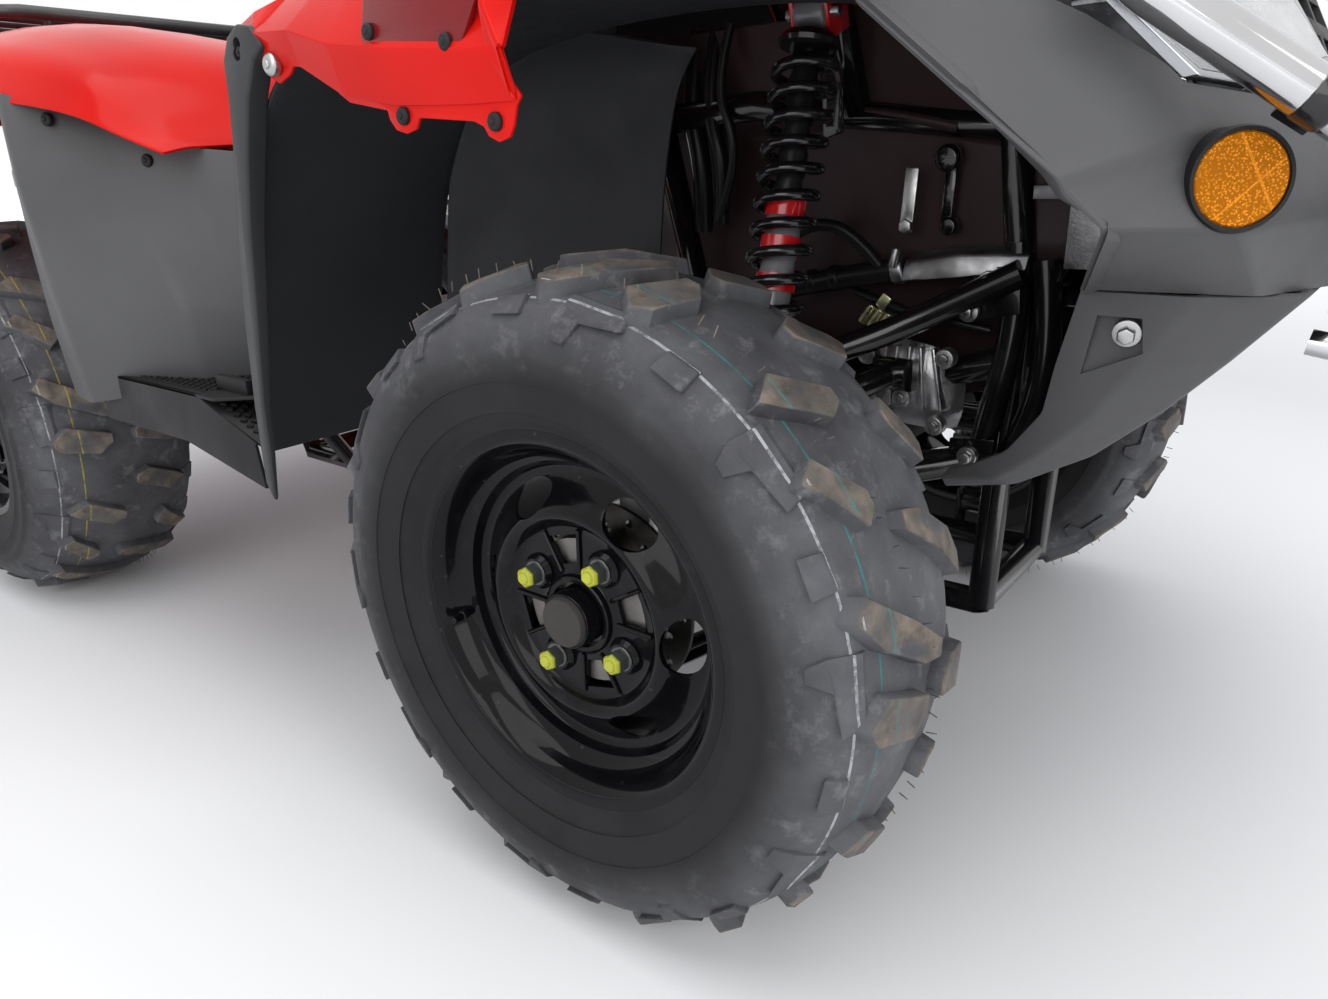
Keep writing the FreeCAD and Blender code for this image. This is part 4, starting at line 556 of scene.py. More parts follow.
def block(size: Point, place: Point, turn: tuple = (0, 0, 0), round_by: float = 0.0015) -> Thing:
    """Rectangular piece with softened edges."""
    bpy.ops.mesh.primitive_cube_add(size=1, location=place, rotation=turn)
    thing = bpy.context.object
    thing.scale = size
    settle(thing)
    return soften(thing, round_by) if round_by else thing


def rod(radius: float, length: float, start: Point, way: Point, sides: int = 24, tip: float = 1.0,
        round_by: float = 0.001) -> Thing:
    """Round piece from a start along a direction, its far end inset to tip times its radius."""
    way = Vector(way).normalized()
    middle = Vector(start) + way * (length / 2)
    bpy.ops.mesh.primitive_cylinder_add(vertices=sides, radius=radius, depth=length, location=middle,
                                        rotation=turned(way))
    thing = settle(bpy.context.object)
    if tip < 1.0:
        bpy.ops.object.mode_set(mode="EDIT")
        bpy.ops.mesh.select_all(action="DESELECT")
        bpy.ops.object.mode_set(mode="OBJECT")
        for face in thing.data.polygons:
            face.select = face.normal.dot(way) > 0.9
        bpy.ops.object.mode_set(mode="EDIT")
        bpy.ops.mesh.inset(thickness=radius * (1 - tip))
        bpy.ops.transform.translate(value=tuple(way * (radius * 0.25)))
        bpy.ops.object.mode_set(mode="OBJECT")
    return soften(thing, round_by) if round_by else thing


def eased(points: list[Point], reach: float) -> list[Point]:
    """Route of a bent tube, with a point on each side of every bend so that its runs stay straight."""
    out = [points[0]]
    for before, corner, after in zip(points, points[1:], points[2:]):
        corner = Vector(corner)
        for other in (before, after):
            way = Vector(other) - corner
            out.append(tuple(corner + way.normalized() * min(reach, way.length * 0.45)))
            if other is before:
                out.append(tuple(corner))
    return out + [points[-1]]


def spun(profile: list[Pair], steps: int = 96, angle: float = 40.0) -> Thing:
    """Body of revolution about the Y axis, from (across, radius) points round its section."""
    bpy.ops.mesh.primitive_circle_add(vertices=len(profile), radius=0.1)
    thing = bpy.context.object
    for vertex, (y, radius) in zip(thing.data.vertices, profile):
        vertex.co = (0, y, radius)
    turn = partial(bpy.ops.mesh.spin, steps=steps, dupli=False, angle=math.tau, center=(0, 0, 0),
                   axis=(0, 1, 0))
    merge = partial(bpy.ops.mesh.remove_doubles, threshold=0.00002)
    return shaded(edited(thing, turn, merge, bpy.ops.mesh.normals_make_consistent), angle)


def spun_along(profile: list[Pair], start: Vector, way: Vector, steps: int = 36) -> Thing:
    """Body of revolution from (along, radius) points of its section, along a direction from a start."""
    thing = spun(profile, steps)
    turn = Vector((0, 1, 0)).rotation_difference(way).to_matrix().to_4x4()
    thing.data.transform(Matrix.Translation(start) @ turn)
    return thing


def circled(radius: float, degrees: float, across: float = 0.0) -> Vector:
    """Place round the Y axis, at degrees from straight ahead towards the top."""
    turn = math.radians(degrees)
    return Vector((radius * math.cos(turn), across, radius * math.sin(turn)))


def joined(pieces: list[Thing], name: str) -> Thing:
    """Joins pieces into the first one and names it."""
    clear()
    for piece in pieces:
        piece.select_set(True)
    bpy.context.view_layer.objects.active = pieces[0]
    if len(pieces) > 1:
        bpy.ops.object.join()
    thing = bpy.context.object
    thing.name = name
    settle(thing)
    return thing


def copied(piece: Thing, matrix: Matrix) -> Thing:
    """Copy of a piece with its own mesh, moved by a matrix."""
    other = piece.copy()
    other.data = piece.data.copy()
    bpy.context.scene.collection.objects.link(other)
    other.data.transform(matrix)
    if matrix.determinant() < 0:
        other.data.flip_normals()
    return other


def tube(points: list[Point], radius: float, sides: int = 4) -> Thing:
    """Bent tube or hose through points."""
    curve = bpy.data.curves.new("tube", "CURVE")
    curve.dimensions = "3D"
    curve.bevel_depth = radius
    curve.bevel_resolution = sides
    curve.use_fill_caps = True
    curve.resolution_u = 6
    spline = curve.splines.new("NURBS")
    spline.points.add(len(points) - 1)
    for point, place in zip(spline.points, points):
        point.co = (*place, 1.0)
    spline.order_u = 3
    spline.use_endpoint_u = True
    thing = bpy.data.objects.new("tube", curve)
    bpy.context.scene.collection.objects.link(thing)
    only(thing)
    bpy.ops.object.convert(target="MESH")
    return shaded(bpy.context.object, 40)


def cut(thing: Thing, tools: list[Thing]) -> Thing:
    """Cuts a piece with tools, which are deleted."""
    for tool in tools:
        modified(thing, "BOOLEAN", operation="DIFFERENCE", object=tool, solver="EXACT")
        bpy.data.objects.remove(tool)
    return thing


MIRROR = Matrix.Scale(-1.0, 4, Vector((0.0, 1.0, 0.0)))


def pair(thing: Thing) -> Thing:
    """A right-hand piece joined with its mirror image."""
    return joined([thing, copied(thing, MIRROR)], "pair")


class Maker:
    """Common finishing steps of every sub-assembly."""

    def __init__(self, shop: Paintshop) -> None:
        """Keeps the finishes at hand."""
        self.shop = shop

    def twins(self, pieces: list[Thing], name: str, finish: str, body: str, slot: str,
              *replaces: str) -> Thing:
        """Joins right-hand pieces, mirrors them to the left and finishes the whole, as done does."""
        return self.done(pair(joined(pieces, name)), name, finish, body, slot, *replaces)

    def done(self, piece: Thing, name: str, finish: str, body: str, slot: str,
             *replaces: str) -> Thing:
        """Names, dresses and attaches a finished piece.

        Args:
            piece: the object.
            name: its name.
            finish: finish from the paint shop.
            body: body that it rides on.
            slot: material slot of the record; not used.
            replaces: nodes of the frame that it stands for.

        Returns:
            The same object.
        """
        piece.name = name
        piece.data.materials.clear()
        piece.data.materials.append(self.shop.finish[finish])
        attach(piece, body)
        if replaces:
            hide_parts(*replaces)
        LOG.info("piece %s: %d faces", name, len(piece.data.polygons))
        return piece


@dataclass(frozen=True)
class TyreSizes:
    """Sizes of one tyre, in metres across and from the axle."""

    half_width: float
    rim_half: float
    flange: float
    tip: float = 0.3
    pitches: int = 20


# round the section from the outer bead over the tread to its middle, for a tyre 203 mm wide:
# (outwards from the tyre's middle, radius)
SECTION = [
    (0.0835, 0.1715), (0.0885, 0.1755), (0.0925, 0.184), (0.0945, 0.1872), (0.0958, 0.1866),
    (0.0985, 0.197), (0.1005, 0.2085), (0.1012, 0.2115), (0.1022, 0.2118), (0.1018, 0.2155),
    (0.1024, 0.2255), (0.1032, 0.2305), (0.1034, 0.2352), (0.1012, 0.2375), (0.1002, 0.2435),
    (0.0985, 0.2505), (0.0945, 0.2588), (0.0882, 0.2668), (0.0785, 0.2738), (0.066, 0.2782),
    (0.05, 0.2818), (0.034, 0.2843), (0.017, 0.2858), (0.0, 0.2864),
]
SECTION_HALF = 0.1034
SECTION_BEAD = 0.1715
SECTION_CROWN = 0.2864
TREAD_EDGE = 84

# lug outlines on the half of the tread that faces outwards: (degrees ahead, outwards in mm) round each top
LUGS = [
    [(5, 84), (8, 72), (1.5, 30), (-4, -10), (-6.5, -5), (-5.5, 20), (0, 65)],
    [(6, 84), (8.5, 68), (1.5, 36), (-1, 36), (-3, 48), (3.5, 72)],
    [(2.5, 74), (5.5, 52), (0, 7), (-2.5, 8), (-4, 25), (0.4, 62)],
    [(5.5, 81), (9.5, 62), (6, 14), (3.4, 14), (0.6, 32), (2.6, 72)],
]

# shoulder blocks: (degrees ahead, radius in mm) round each
HOOKS = [
    [(6.2, 277), (-5.0, 277), (-6.2, 268), (-2.0, 264.5), (1.4, 263), (3.0, 246), (5.6, 247), (6.8, 262)],
    [(3.2, 261), (2.8, 273), (-3.0, 274), (-3.4, 261)],
]


class Tyre(Maker):
    """Off-road tyre with block lugs, shoulder hooks, moulded rings and vent hairs."""

    def __init__(self, shop: Paintshop, sizes: TyreSizes) -> None:
        """Keeps the sizes of this tyre."""
        super().__init__(shop)
        self.sizes = sizes
        self.wide = sizes.half_width / SECTION_HALF

    def section(self) -> list[Pair]:
        """Section of the carcass, from the outer bead round the tread and back inside."""
        s = self.sizes
        low = s.flange + 0.0015
        outer = []
        for y, radius in SECTION:
            share = (radius - SECTION_BEAD) / (SECTION_CROWN - SECTION_BEAD)
            outer.append((y * self.wide + (s.rim_half - SECTION[0][0] * self.wide) * (1 - share),
                          low + share * (SECTION_CROWN - low)))
        inner = [(-y, radius) for y, radius in reversed(outer[:-1])]
        hollow = [(s.half_width * 0.8, 0.235), (s.rim_half * 0.8, s.flange - 0.012),
                  (s.rim_half * 0.98, s.flange - 0.012)]
        return outer + inner + [(-y, radius) for y, radius in reversed(hollow)] + [(0.0, 0.262)] + hollow

    def surface(self, across: float) -> float:
        """Radius of the carcass at a place across the tread, for the lugs to stand in."""
        side = abs(across)
        points = [p for p in self.section()[:len(SECTION)] if p[1] > 0.235]
        for (y1, r1), (y2, r2) in zip(points, points[1:]):
            if y2 <= side <= y1:
                return r1 + (r2 - r1) * (y1 - side) / max(1e-9, y1 - y2)
        return points[0][1] if side > points[0][0] else points[-1][1]

    def wall(self, radius: float, proud: float) -> float:
        """Place across of the sidewall at a radius, moved out by proud."""
        points = self.section()[:len(SECTION)]
        for (y1, r1), (y2, r2) in zip(points, points[1:]):
            if r1 <= radius <= r2:
                return y1 + (y2 - y1) * (radius - r1) / max(1e-9, r2 - r1) + proud
        return points[-1][0] + proud

    def raised(self, foot: list[Vector], top: list[Vector], round_by: float) -> Thing:
        """Block from its foot inside the carcass to its top, point by point."""
        thing = edited(outlined(foot), bpy.ops.mesh.extrude_region_move)
        for vertex, place in zip([v for v in thing.data.vertices if v.select], top):
            vertex.co = place
        return soften(edited(thing, bpy.ops.mesh.normals_make_consistent), round_by, 1, 50)

    def lug(self, outline: list[Pair], side: float) -> Thing:
        """One tread block, with a slightly smaller top.

        Args:
            outline: (degrees, mm outwards) round the top.
            side: 1 or -1, which half of the tread.

        Returns:
            The block, not yet in its place round the tyre.
        """
        angles, outs = zip(*outline)
        angle_middle, out_middle = sum(angles) / len(outline), sum(outs) / len(outline)
        foot, top = [], []
        for angle, out in outline:
            wider = angle_middle + (angle - angle_middle) * 1.13
            t = (out_middle + (out - out_middle) * 1.07) * self.wide / 1000
            foot.append(circled(self.surface(t) - 0.006, wider * side, t * side))
            drop = CROWN_DROP * (abs(out) / TREAD_EDGE) ** CROWN_POWER
            top.append(circled(self.sizes.tip - 0.0006 - drop, angle * side,
                               out * self.wide / 1000 * side))
        return self.raised(foot, top, 0.0012)

    def hook(self, outline: list[Pair], side: float) -> Thing:
        """One shoulder block on the sidewall."""
        foot, top = [], []
        for angle, mm in outline:
            radius = mm / 1000
            foot.append(circled(radius, angle * side, self.wall(radius, -0.004) * side))
            out = min(self.sizes.half_width - 0.0004, self.wall(radius, 0.0042 if mm < 265 else 0.0058))
            top.append(circled(radius + 0.002, angle * side, out * side))
        return self.raised(foot, top, 0.0008)

    def hairs(self) -> list[Thing]:
        """Short vent hairs left on the lugs by the mould."""
        out = []
        for index in range(90):
            angle = index * 137.508
            turn = math.radians(angle)
            way = Vector((math.cos(turn) + 0.3 * math.sin(index), 0.35 * math.cos(index * 1.7),
                          math.sin(turn) + 0.3 * math.cos(index)))
            start = circled(0.291, angle, 0.07 * math.sin(index * 2.399))
            out.append(rod(0.0005, 0.0085, start, way, 5, 1.0, 0.0))
        return out

    def build(self) -> Thing:
        """Builds the tyre about the origin with its outer side towards +Y."""
        pitches = self.sizes.pitches
        step = 360.0 / pitches
        pieces = [spun(self.section(), 120, 50)]
        outer, inner = [[self.lug(shape, side) for shape in LUGS] for side in (1.0, -1.0)]
        hooks, back_hooks = [[self.hook(shape, side) for shape in HOOKS] for side in (1.0, -1.0)]
        for index in range(pitches):
            jitter = 1.3 * math.sin(index * 2.4)
            for kinds, phase in ((outer, 11.5), (inner, 11.5 + step / 2), (hooks, 5.5),
                                 (back_hooks, 14.5 + step)):
                turn = Matrix.Rotation(-math.radians(step * index + phase + jitter), 4, "Y")
                pieces.append(copied(kinds[index % len(kinds)], turn))
        pieces += self.hairs()
        for thing in outer + inner + hooks + back_hooks:
            bpy.data.objects.remove(thing)
        return joined(pieces, "tyre")


@dataclass(frozen=True)
class RimSizes:
    """Sizes of one wheel rim, outwards from the tyre's middle and from the axle, in metres."""

    lip: float
    flange: float
    drawn_flange: float = 0.17

    @property
    def growth(self) -> float:
        """How much larger the rim's edge is than the one whose section is drawn."""
        return self.flange - self.drawn_flange

    def disc_radius(self, radius: float) -> float:
        """Radius on the disc, moved with the rim's edge outside of the flat centre."""
        centre, edge = 0.0925, 0.1338
        return radius + self.growth * max(0.0, min(1.0, (radius - centre) / (edge - centre)))


# the rim's section as (mm in from the lip, radius in m): its rolled edge, the disc and the disc's back
RIM_EDGE = [
    (0.0, 0.170), (0.3, 0.1675), (0.2, 0.1625), (1.2, 0.1592), (2.8, 0.1576), (7.8, 0.1532),
    (14.0, 0.1508), (21.0, 0.1478), (27.5, 0.1448), (30.5, 0.1412), (33.0, 0.1364), (39.9, 0.1338),
]
RIM_DISC = [
    (43.5, 0.1315), (45.5, 0.1275), (45.0, 0.1225), (41.0, 0.1150), (34.0, 0.1070), (27.0, 0.1005),
    (23.0, 0.0960), (21.6, 0.0925), (22.0, 0.0895), (24.5, 0.0862), (29.0, 0.0828), (33.0, 0.0800),
    (34.2, 0.0780), (34.4, 0.0700), (34.4, 0.0600), (34.4, 0.0480), (34.0, 0.0400), (32.0, 0.0365),
    (28.0, 0.0350), (27.0, 0.0335), (27.6, 0.0300), (34.0, 0.0290), (38.5, 0.0290), (38.5, 0.0780),
    (33.5, 0.0850), (26.5, 0.0930), (31.0, 0.1010), (45.0, 0.1180),
]
# the well inside: from the disc, (mm in from the far lip, radius), and back behind the visible edge
RIM_WELL = [(50.0, 0.1290), (60.0, 0.1290)]
RIM_FAR = [
    (40, 0.1290), (27, 0.1420), (8, 0.1500), (2.8, 0.1546), (0, 0.166), (0.2, 0.1705), (3.0, 0.1700),
    (9.5, 0.1545), (30, 0.1462), (43, 0.1330),
]
RIM_BEHIND = [
    (60.0, 0.1330), (42.0, 0.1372), (36.0, 0.1400), (30.0, 0.1485), (10.0, 0.1575), (5.0, 0.1620),
    (2.2, 0.1705),
]
# degrees from straight ahead to the first hand hole, window and nut, and the radius that the nuts stand on
FIRST_HOLE, FIRST_WINDOW, FIRST_NUT, VALVE = 59.0, 104.8, 59.8, -166
NUT_CIRCLE = 0.055
OUTWARDS = (0, 1, 0)


class Rim(Maker):
    """Pressed steel rim with its dished disc, hand holes, ribbed centre and valve."""

    def __init__(self, shop: Paintshop, sizes: RimSizes) -> None:
        """Keeps the sizes of this rim."""
        super().__init__(shop)
        self.sizes = sizes

    def profile(self) -> list[Pair]:
        """Section of the rim: its visible face from the lip to the middle, and back along the inside."""
        s = self.sizes
        far = [(2000 * s.lip - depth, radius) for depth, radius in RIM_FAR]
        out = [(depth, radius + s.growth) for depth, radius in RIM_EDGE]
        out += [(depth, s.disc_radius(radius)) for depth, radius in RIM_DISC]
        out += [(depth, radius + s.growth) for depth, radius in RIM_WELL + far + RIM_BEHIND]
        return [(s.lip - depth / 1000, radius) for depth, radius in out]

    def oval(self, degrees: float) -> Thing:
        """Tool for one hand hole: an oval bar, longer round the wheel than across."""
        growth = self.sizes.growth
        place = circled(0.1085 + 0.55 * growth, degrees, self.sizes.lip - 0.035)
        bpy.ops.mesh.primitive_cylinder_add(vertices=28, radius=1.0, depth=0.09, location=place,
                                            rotation=(math.pi / 2, -math.radians(degrees), 0))
        tool = bpy.context.object
        tool.scale = (0.0155 + 0.15 * growth, 0.0255, 1.0)
        return settle(tool)

    def window(self, degrees: float) -> Thing:
        """Tool for one window of the centre plate, wider outwards."""
        tool = block((0.026, 0.05, 0.02), (0, 0, 0), round_by=0)
        for vertex in tool.data.vertices:
            if vertex.co.x > 0:
                vertex.co.z *= 1.75
        turn = Matrix.Rotation(-math.radians(degrees), 4, "Y")
        place = Matrix.Translation((0, self.sizes.lip - 0.036, 0))
        tool.data.transform(place @ turn @ Matrix.Translation((0.0575, 0, 0)))
        return tool

    def build(self) -> Thing:
        """Builds the rim about the origin with its outer side towards +Y."""
        lip = self.sizes.lip
        rim = spun(self.profile(), 96, 34)
        tools = [self.oval(FIRST_HOLE + 60 * index) for index in range(6)]
        tools += [self.window(FIRST_WINDOW + 90 * index) for index in range(4)]
        pieces = [cut(rim, tools)]
        for index in range(4):
            for offset in (-15.5, 15.5):
                degrees = FIRST_WINDOW + index * 90 + offset
                start = circled(0.040, degrees, lip - 0.0335)
                pieces.append(rod(0.0021, 0.037, start, circled(1.0, degrees), 10, 0.6, 0))
            boss = circled(NUT_CIRCLE, FIRST_NUT + index * 90, lip - 0.0355)
            pieces.append(rod(0.0165, 0.0035, boss, OUTWARDS, 28, 0.8, 0))
        valve = circled(0.146 + self.sizes.growth, VALVE, lip - 0.033)
        lean = circled(-0.3, VALVE, 1)
        pieces += [rod(0.0048, 0.02, valve, lean, 14, 0.7, 0), rod(0.0036, 0.034, valve, lean, 12, 0.8, 0)]
        for thing in pieces:
            shaded(thing, 34)
        return joined(pieces, "rim")


class Hub(Maker):
    """Hub with its brake disc, bolt-on cap and four wheel nuts, about the origin."""

    def __init__(self, shop: Paintshop, lip: float) -> None:
        """Keeps how far out the rim's lip stands."""
        super().__init__(shop)
        self.lip = lip

    def cap(self) -> tuple[Thing, Thing]:
        """Gloss hub nose, and the flat dull cap inside its thin ring."""
        top = self.lip - 0.0125
        nose = spun([(top - 0.0495, 0.0262), (top - 0.0015, 0.0258), (top, 0.0247), (top, 0.0235),
                     (top - 0.0018, 0.0232), (top - 0.0495, 0.0232)], 48)
        return nose, rod(0.0234, 0.0035, (0, top - 0.0045, 0), OUTWARDS, 40, 0.92, 0.0004)

    def nuts(self) -> tuple[Thing, Thing]:
        """The four nuts: their bodies as one piece, their painted ends with the studs' tips as another."""
        bodies, ends = [], []
        for index in range(4):
            floor, body, end, stud = [circled(NUT_CIRCLE, FIRST_NUT + index * 90, self.lip - 0.0335 + rise)
                                      for rise in (0, 0.003, 0.0135, 0.0152)]
            bodies += [rod(0.0128, 0.0035, floor, OUTWARDS, 28, 0.85, 0.0005),
                       rod(0.0102, 0.0125, body, OUTWARDS, 6, 0.9, 0.0006)]
            ends += [rod(0.0096, 0.0048, end, OUTWARDS, 6, 0.82, 0.0005),
                     rod(0.0058, 0.0062, stud, OUTWARDS, 18, 0.75, 0.0004)]
        return joined(bodies, "nuts"), joined(ends, "nut_ends")

    def brake(self) -> Thing:
        """Drilled brake disc on its carrier behind the wheel disc."""
        y = self.lip - 0.075
        face = self.lip - 0.0395
        disc = spun([(y - 0.002, 0.089), (y + 0.002, 0.089), (y + 0.002, 0.058), (y - 0.002, 0.058)], 64)
        hub = spun([(face, 0.066), (face, 0.018), (0, 0.018), (0, 0.034), (y - 0.008, 0.04),
                    (y - 0.003, 0.064), (y + 0.003, 0.066)], 48)
        places = [circled(0.068 if index % 2 else 0.079, 18 * index, y - 0.01) for index in range(20)]
        holes = [rod(0.0042, 0.02, place, OUTWARDS, 10, 1, 0) for place in places]
        return joined([cut(disc, [joined(holes, "holes")]), hub], "brake_disc")


@dataclass(frozen=True)
class Corner:
    """One wheel's place: its side, centre, body and the nodes that its parts stand for."""

    name: str
    side: float
    centre: Vector
    body: str
    nodes: dict[str, str]


class Wheels(Maker):
    """All four wheels."""

    def set_of(self, sizes: TyreSizes, corners: list[Corner], rubber: str, hub: bool) -> None:
        """Makes one pattern of tyre, rim and hub at the origin and places copies at its corners."""
        maker = Hub(self.shop, sizes.rim_half)
        nuts, ends = maker.nuts()
        nose, face = maker.cap()
        rim = Rim(self.shop, RimSizes(sizes.rim_half, sizes.flange)).build()
        parts = {
            "tyre": (Tyre(self.shop, sizes).build(), rubber, "tyre"),
            "rim": (rim, "rim_gloss", "gloss_black"),
            "hub_nose": (nose, "rim_gloss", "cast_metal"),
            "cap": (face, "cap_grey", "cast_metal"),
            "nuts": (nuts, "nut_black", "cast_metal"),
            "nut_ends": (ends, "nut_lime", "cast_metal"),
        }
        if hub:
            parts["brake_disc"] = (maker.brake(), "disc_steel", "cast_metal")
        for corner in corners:
            place = Matrix.Translation(corner.centre) @ (MIRROR if corner.side < 0 else Matrix.Identity(4))
            for kind, (piece, finish, slot) in parts.items():
                stands_for = [corner.nodes[kind]] if kind in corner.nodes else []
                self.done(copied(piece, place), f"{kind}.{corner.name}", finish, corner.body, slot,
                          *stands_for)
        for piece, _, _ in parts.values():
            bpy.data.objects.remove(piece)

    def build(self) -> None:
        """Builds both pairs of wheels."""
        front, rear = [], []
        for name, side in (("right", RIGHT), ("left", LEFT)):
            nodes = {"tyre": f"front_tyre_{name}", "rim": f"front_rim_{name}",
                     "brake_disc": f"front_hub_{name}"}
            place = FRONT_AXLE + Vector((0, side * FRONT_HALF_TRACK, 0))
            front.append(Corner(f"front_{name}", side, place, f"front_wheel_{name}", nodes))
            nodes = {"tyre": "rear_tyres", "rim": "rear_rims"} if side is RIGHT else {}
            place = REAR_AXLE + Vector((0, side * REAR_HALF_TRACK, 0))
            rear.append(Corner(f"rear_{name}", side, place, "rear_wheels", nodes))
        self.set_of(TyreSizes(0.1034, 0.085, 0.17), front, "front_rubber", True)
        self.set_of(TyreSizes(0.122, 0.1085, 0.157), rear, "rear_rubber", False)


def grid(rows: list[list[Point]], inside: Point) -> Thing:
    """Grid of faces through rows of points, its back turned to a point inside."""
    bpy.ops.mesh.primitive_grid_add(x_subdivisions=len(rows[0]) - 1, y_subdivisions=len(rows) - 1, size=1)
    thing = only(bpy.context.object)
    for vertex, place in zip(thing.data.vertices, [p for row in rows for p in row]):
        vertex.co = place
    if sum((face.center - Vector(inside)).dot(face.normal) * face.area for face in thing.data.polygons) < 0:
        thing.data.flip_normals()
    return thing


def walled(thing: Thing, wall: float, even: bool, angle: float) -> Thing:
    """Gives a panel its wall and eased edges, then shades it."""
    modified(thing, "SOLIDIFY", thickness=wall, offset=-1.0, use_even_offset=even)
    return shaded(bevelled(thing, 0.0009, 2, 60), angle)


def sheet(rows: list[list[Point]], wall: float, inside: Point, creased: tuple[int, ...] = ()) -> Thing:
    """Smooth moulded panel through rows of points, its wall turned to the inside.

    Args:
        rows: rows of points, all of one length.
        wall: thickness.
        inside: a point that the panel's back faces.
        creased: columns that stay sharp.

    Returns:
        The panel.
    """
    across = len(rows[0])
    thing = grid(rows, inside)
    crease = thing.data.attributes.new("crease_edge", "FLOAT", "EDGE")
    for edge in thing.data.edges:
        a, b = [vertex % across for vertex in edge.vertices]
        crease.data[edge.index].value = 0.85 if a == b and a in creased else 0.0
    modified(thing, "SUBSURF", levels=2, render_levels=2, boundary_smooth="PRESERVE_CORNERS")
    return walled(thing, wall, True, 50)


def facets(rows: list[list[Point]], wall: float, inside: Point, width: float = 0.005,
           angle: float = 7.0) -> Thing:
    """Moulded panel of flat facets through rows of points, its folds softly rounded.

    Args:
        rows: rows of points, all of one length.
        wall: thickness.
        inside: a point that the panel's back faces.
        width: width of each rounded fold.
        angle: least fold in degrees that is rounded.

    Returns:
        The panel.
    """
    return walled(bevelled(grid(rows, inside), width, 3, angle), wall, False, 24)


def plate(outline: list[Point], run: Point, round_by: float = 0.001) -> Thing:
    """Flat plate from the corners of one face, extruded and softened."""
    extrude = partial(bpy.ops.mesh.extrude_region_move, TRANSFORM_OT_translate={"value": run})
    thing = edited(outlined(outline), extrude, bpy.ops.mesh.normals_make_consistent)
    return soften(thing, round_by, 2, 25) if round_by else thing


def carve(thing: Thing, tools: list[Thing]) -> Thing:
    """Cuts a piece with tools and shades it again."""
    return shaded(cut(thing, tools), 50)


def bolt(place: Point, way: Point, radius: float, height: float = 0.004) -> Thing:
    """Round-headed push rivet or screw with a hexagon in its middle."""
    top = Vector(place) + Vector(way).normalized() * height * 1.05
    return joined([rod(radius, height, place, way, 28, 0.72, 0.0006),
                   rod(radius * 0.42, height * 0.5, top, way, 6, 0.8, 0.0003)], "bolt")


Row = tuple[float, list[Pair]]


def across(rows: list[Row], axle: Vector) -> list[list[Point]]:
    """Rows across the machine, each from its right-hand edge to the middle and on to the left."""
    out = []
    for x, half in rows:
        points = [(-y, z) for y, z in half] + [(y, z) for y, z in reversed(half)]
        out.append([(axle.x + x / 1000, y / 1000, z / 1000) for y, z in points])
    return out


def mirrored(half: list[Point]) -> list[Point]:
    """Points from the right-hand edge to the middle, then on to the left-hand edge."""
    right = [from_front(x, -y, z) for x, y, z in half]
    return right + [(x, -y, z) for x, y, z in reversed(right[:-1])]


def ahead(points: list[Point]) -> list[Point]:
    """Places from points in mm ahead of the front axle, across and above the floor."""
    return [from_front(*point) for point in points]


def side_on(points: list[Pair], y: float) -> list[Point]:
    """Places in one plane along the machine, from (ahead of the front axle, above the floor) in mm."""
    return [from_front(x, y, z) for x, z in points]


# mm ahead of the front axle, then (across, above the floor) from the outer edge inwards
FENDER_ROWS: list[Row] = [
    (-385, [(530, 784), (528, 790), (500, 802), (380, 826), (150, 835)]),
    (-324, [(546, 787), (546, 796), (508, 815), (387, 845), (150, 854)]),
    (-316, [(548, 754), (557, 778), (509, 816), (389, 848), (150, 857)]),
    (-262, [(549, 748), (559, 775), (513, 819), (393, 853), (150, 861)]),
    (-205, [(550, 722), (562, 760), (517, 823), (397, 859), (150, 866)]),
    (-140, [(550, 712), (563, 752), (520, 826), (400, 863), (150, 870)]),
    (-60, [(550, 709), (563, 745), (520, 829), (400, 865), (150, 871)]),
    (-9, [(549, 709), (561, 742), (520, 832), (400, 866), (150, 872)]),
    (-24, [(557, 742), (561, 772), (520, 832), (400, 866), (150, 872)]),
    (-22, [(556, 794), (557, 800), (520, 832), (400, 867), (150, 872)]),
    (30, [(555, 795), (556, 800), (519, 832), (400, 866), (150, 872)]),
    (150, [(549, 787), (548, 796), (515, 828), (400, 860), (150, 868)]),
    (250, [(540, 779), (538, 788), (505, 812), (398, 846), (150, 856)]),
]

# mm ahead of the rear axle, then (across, above the floor)
REAR_FENDER_ROWS: list[Row] = [
    (652, [(500, 688), (470, 694), (330, 700), (185, 706), (172, 702), (150, 700)]),
    (600, [(532, 712), (508, 728), (400, 742), (190, 744), (178, 736), (150, 734)]),
    (560, [(546, 732), (524, 772), (420, 806), (192, 796), (178, 750), (150, 744)]),
    (410, [(576, 754), (556, 806), (430, 866), (192, 838), (178, 760), (150, 750)]),
    (220, [(600, 764), (572, 816), (440, 878), (192, 850), (178, 766), (150, 756)]),
    (75, [(602, 780), (576, 818), (440, 850), (190, 838), (178, 775), (150, 768)]),
    (-230, [(592, 774), (562, 802), (430, 832), (190, 828), (178, 790), (150, 786)]),
    (-375, [(550, 740), (522, 770), (400, 808), (190, 810), (178, 800), (150, 798)]),
]

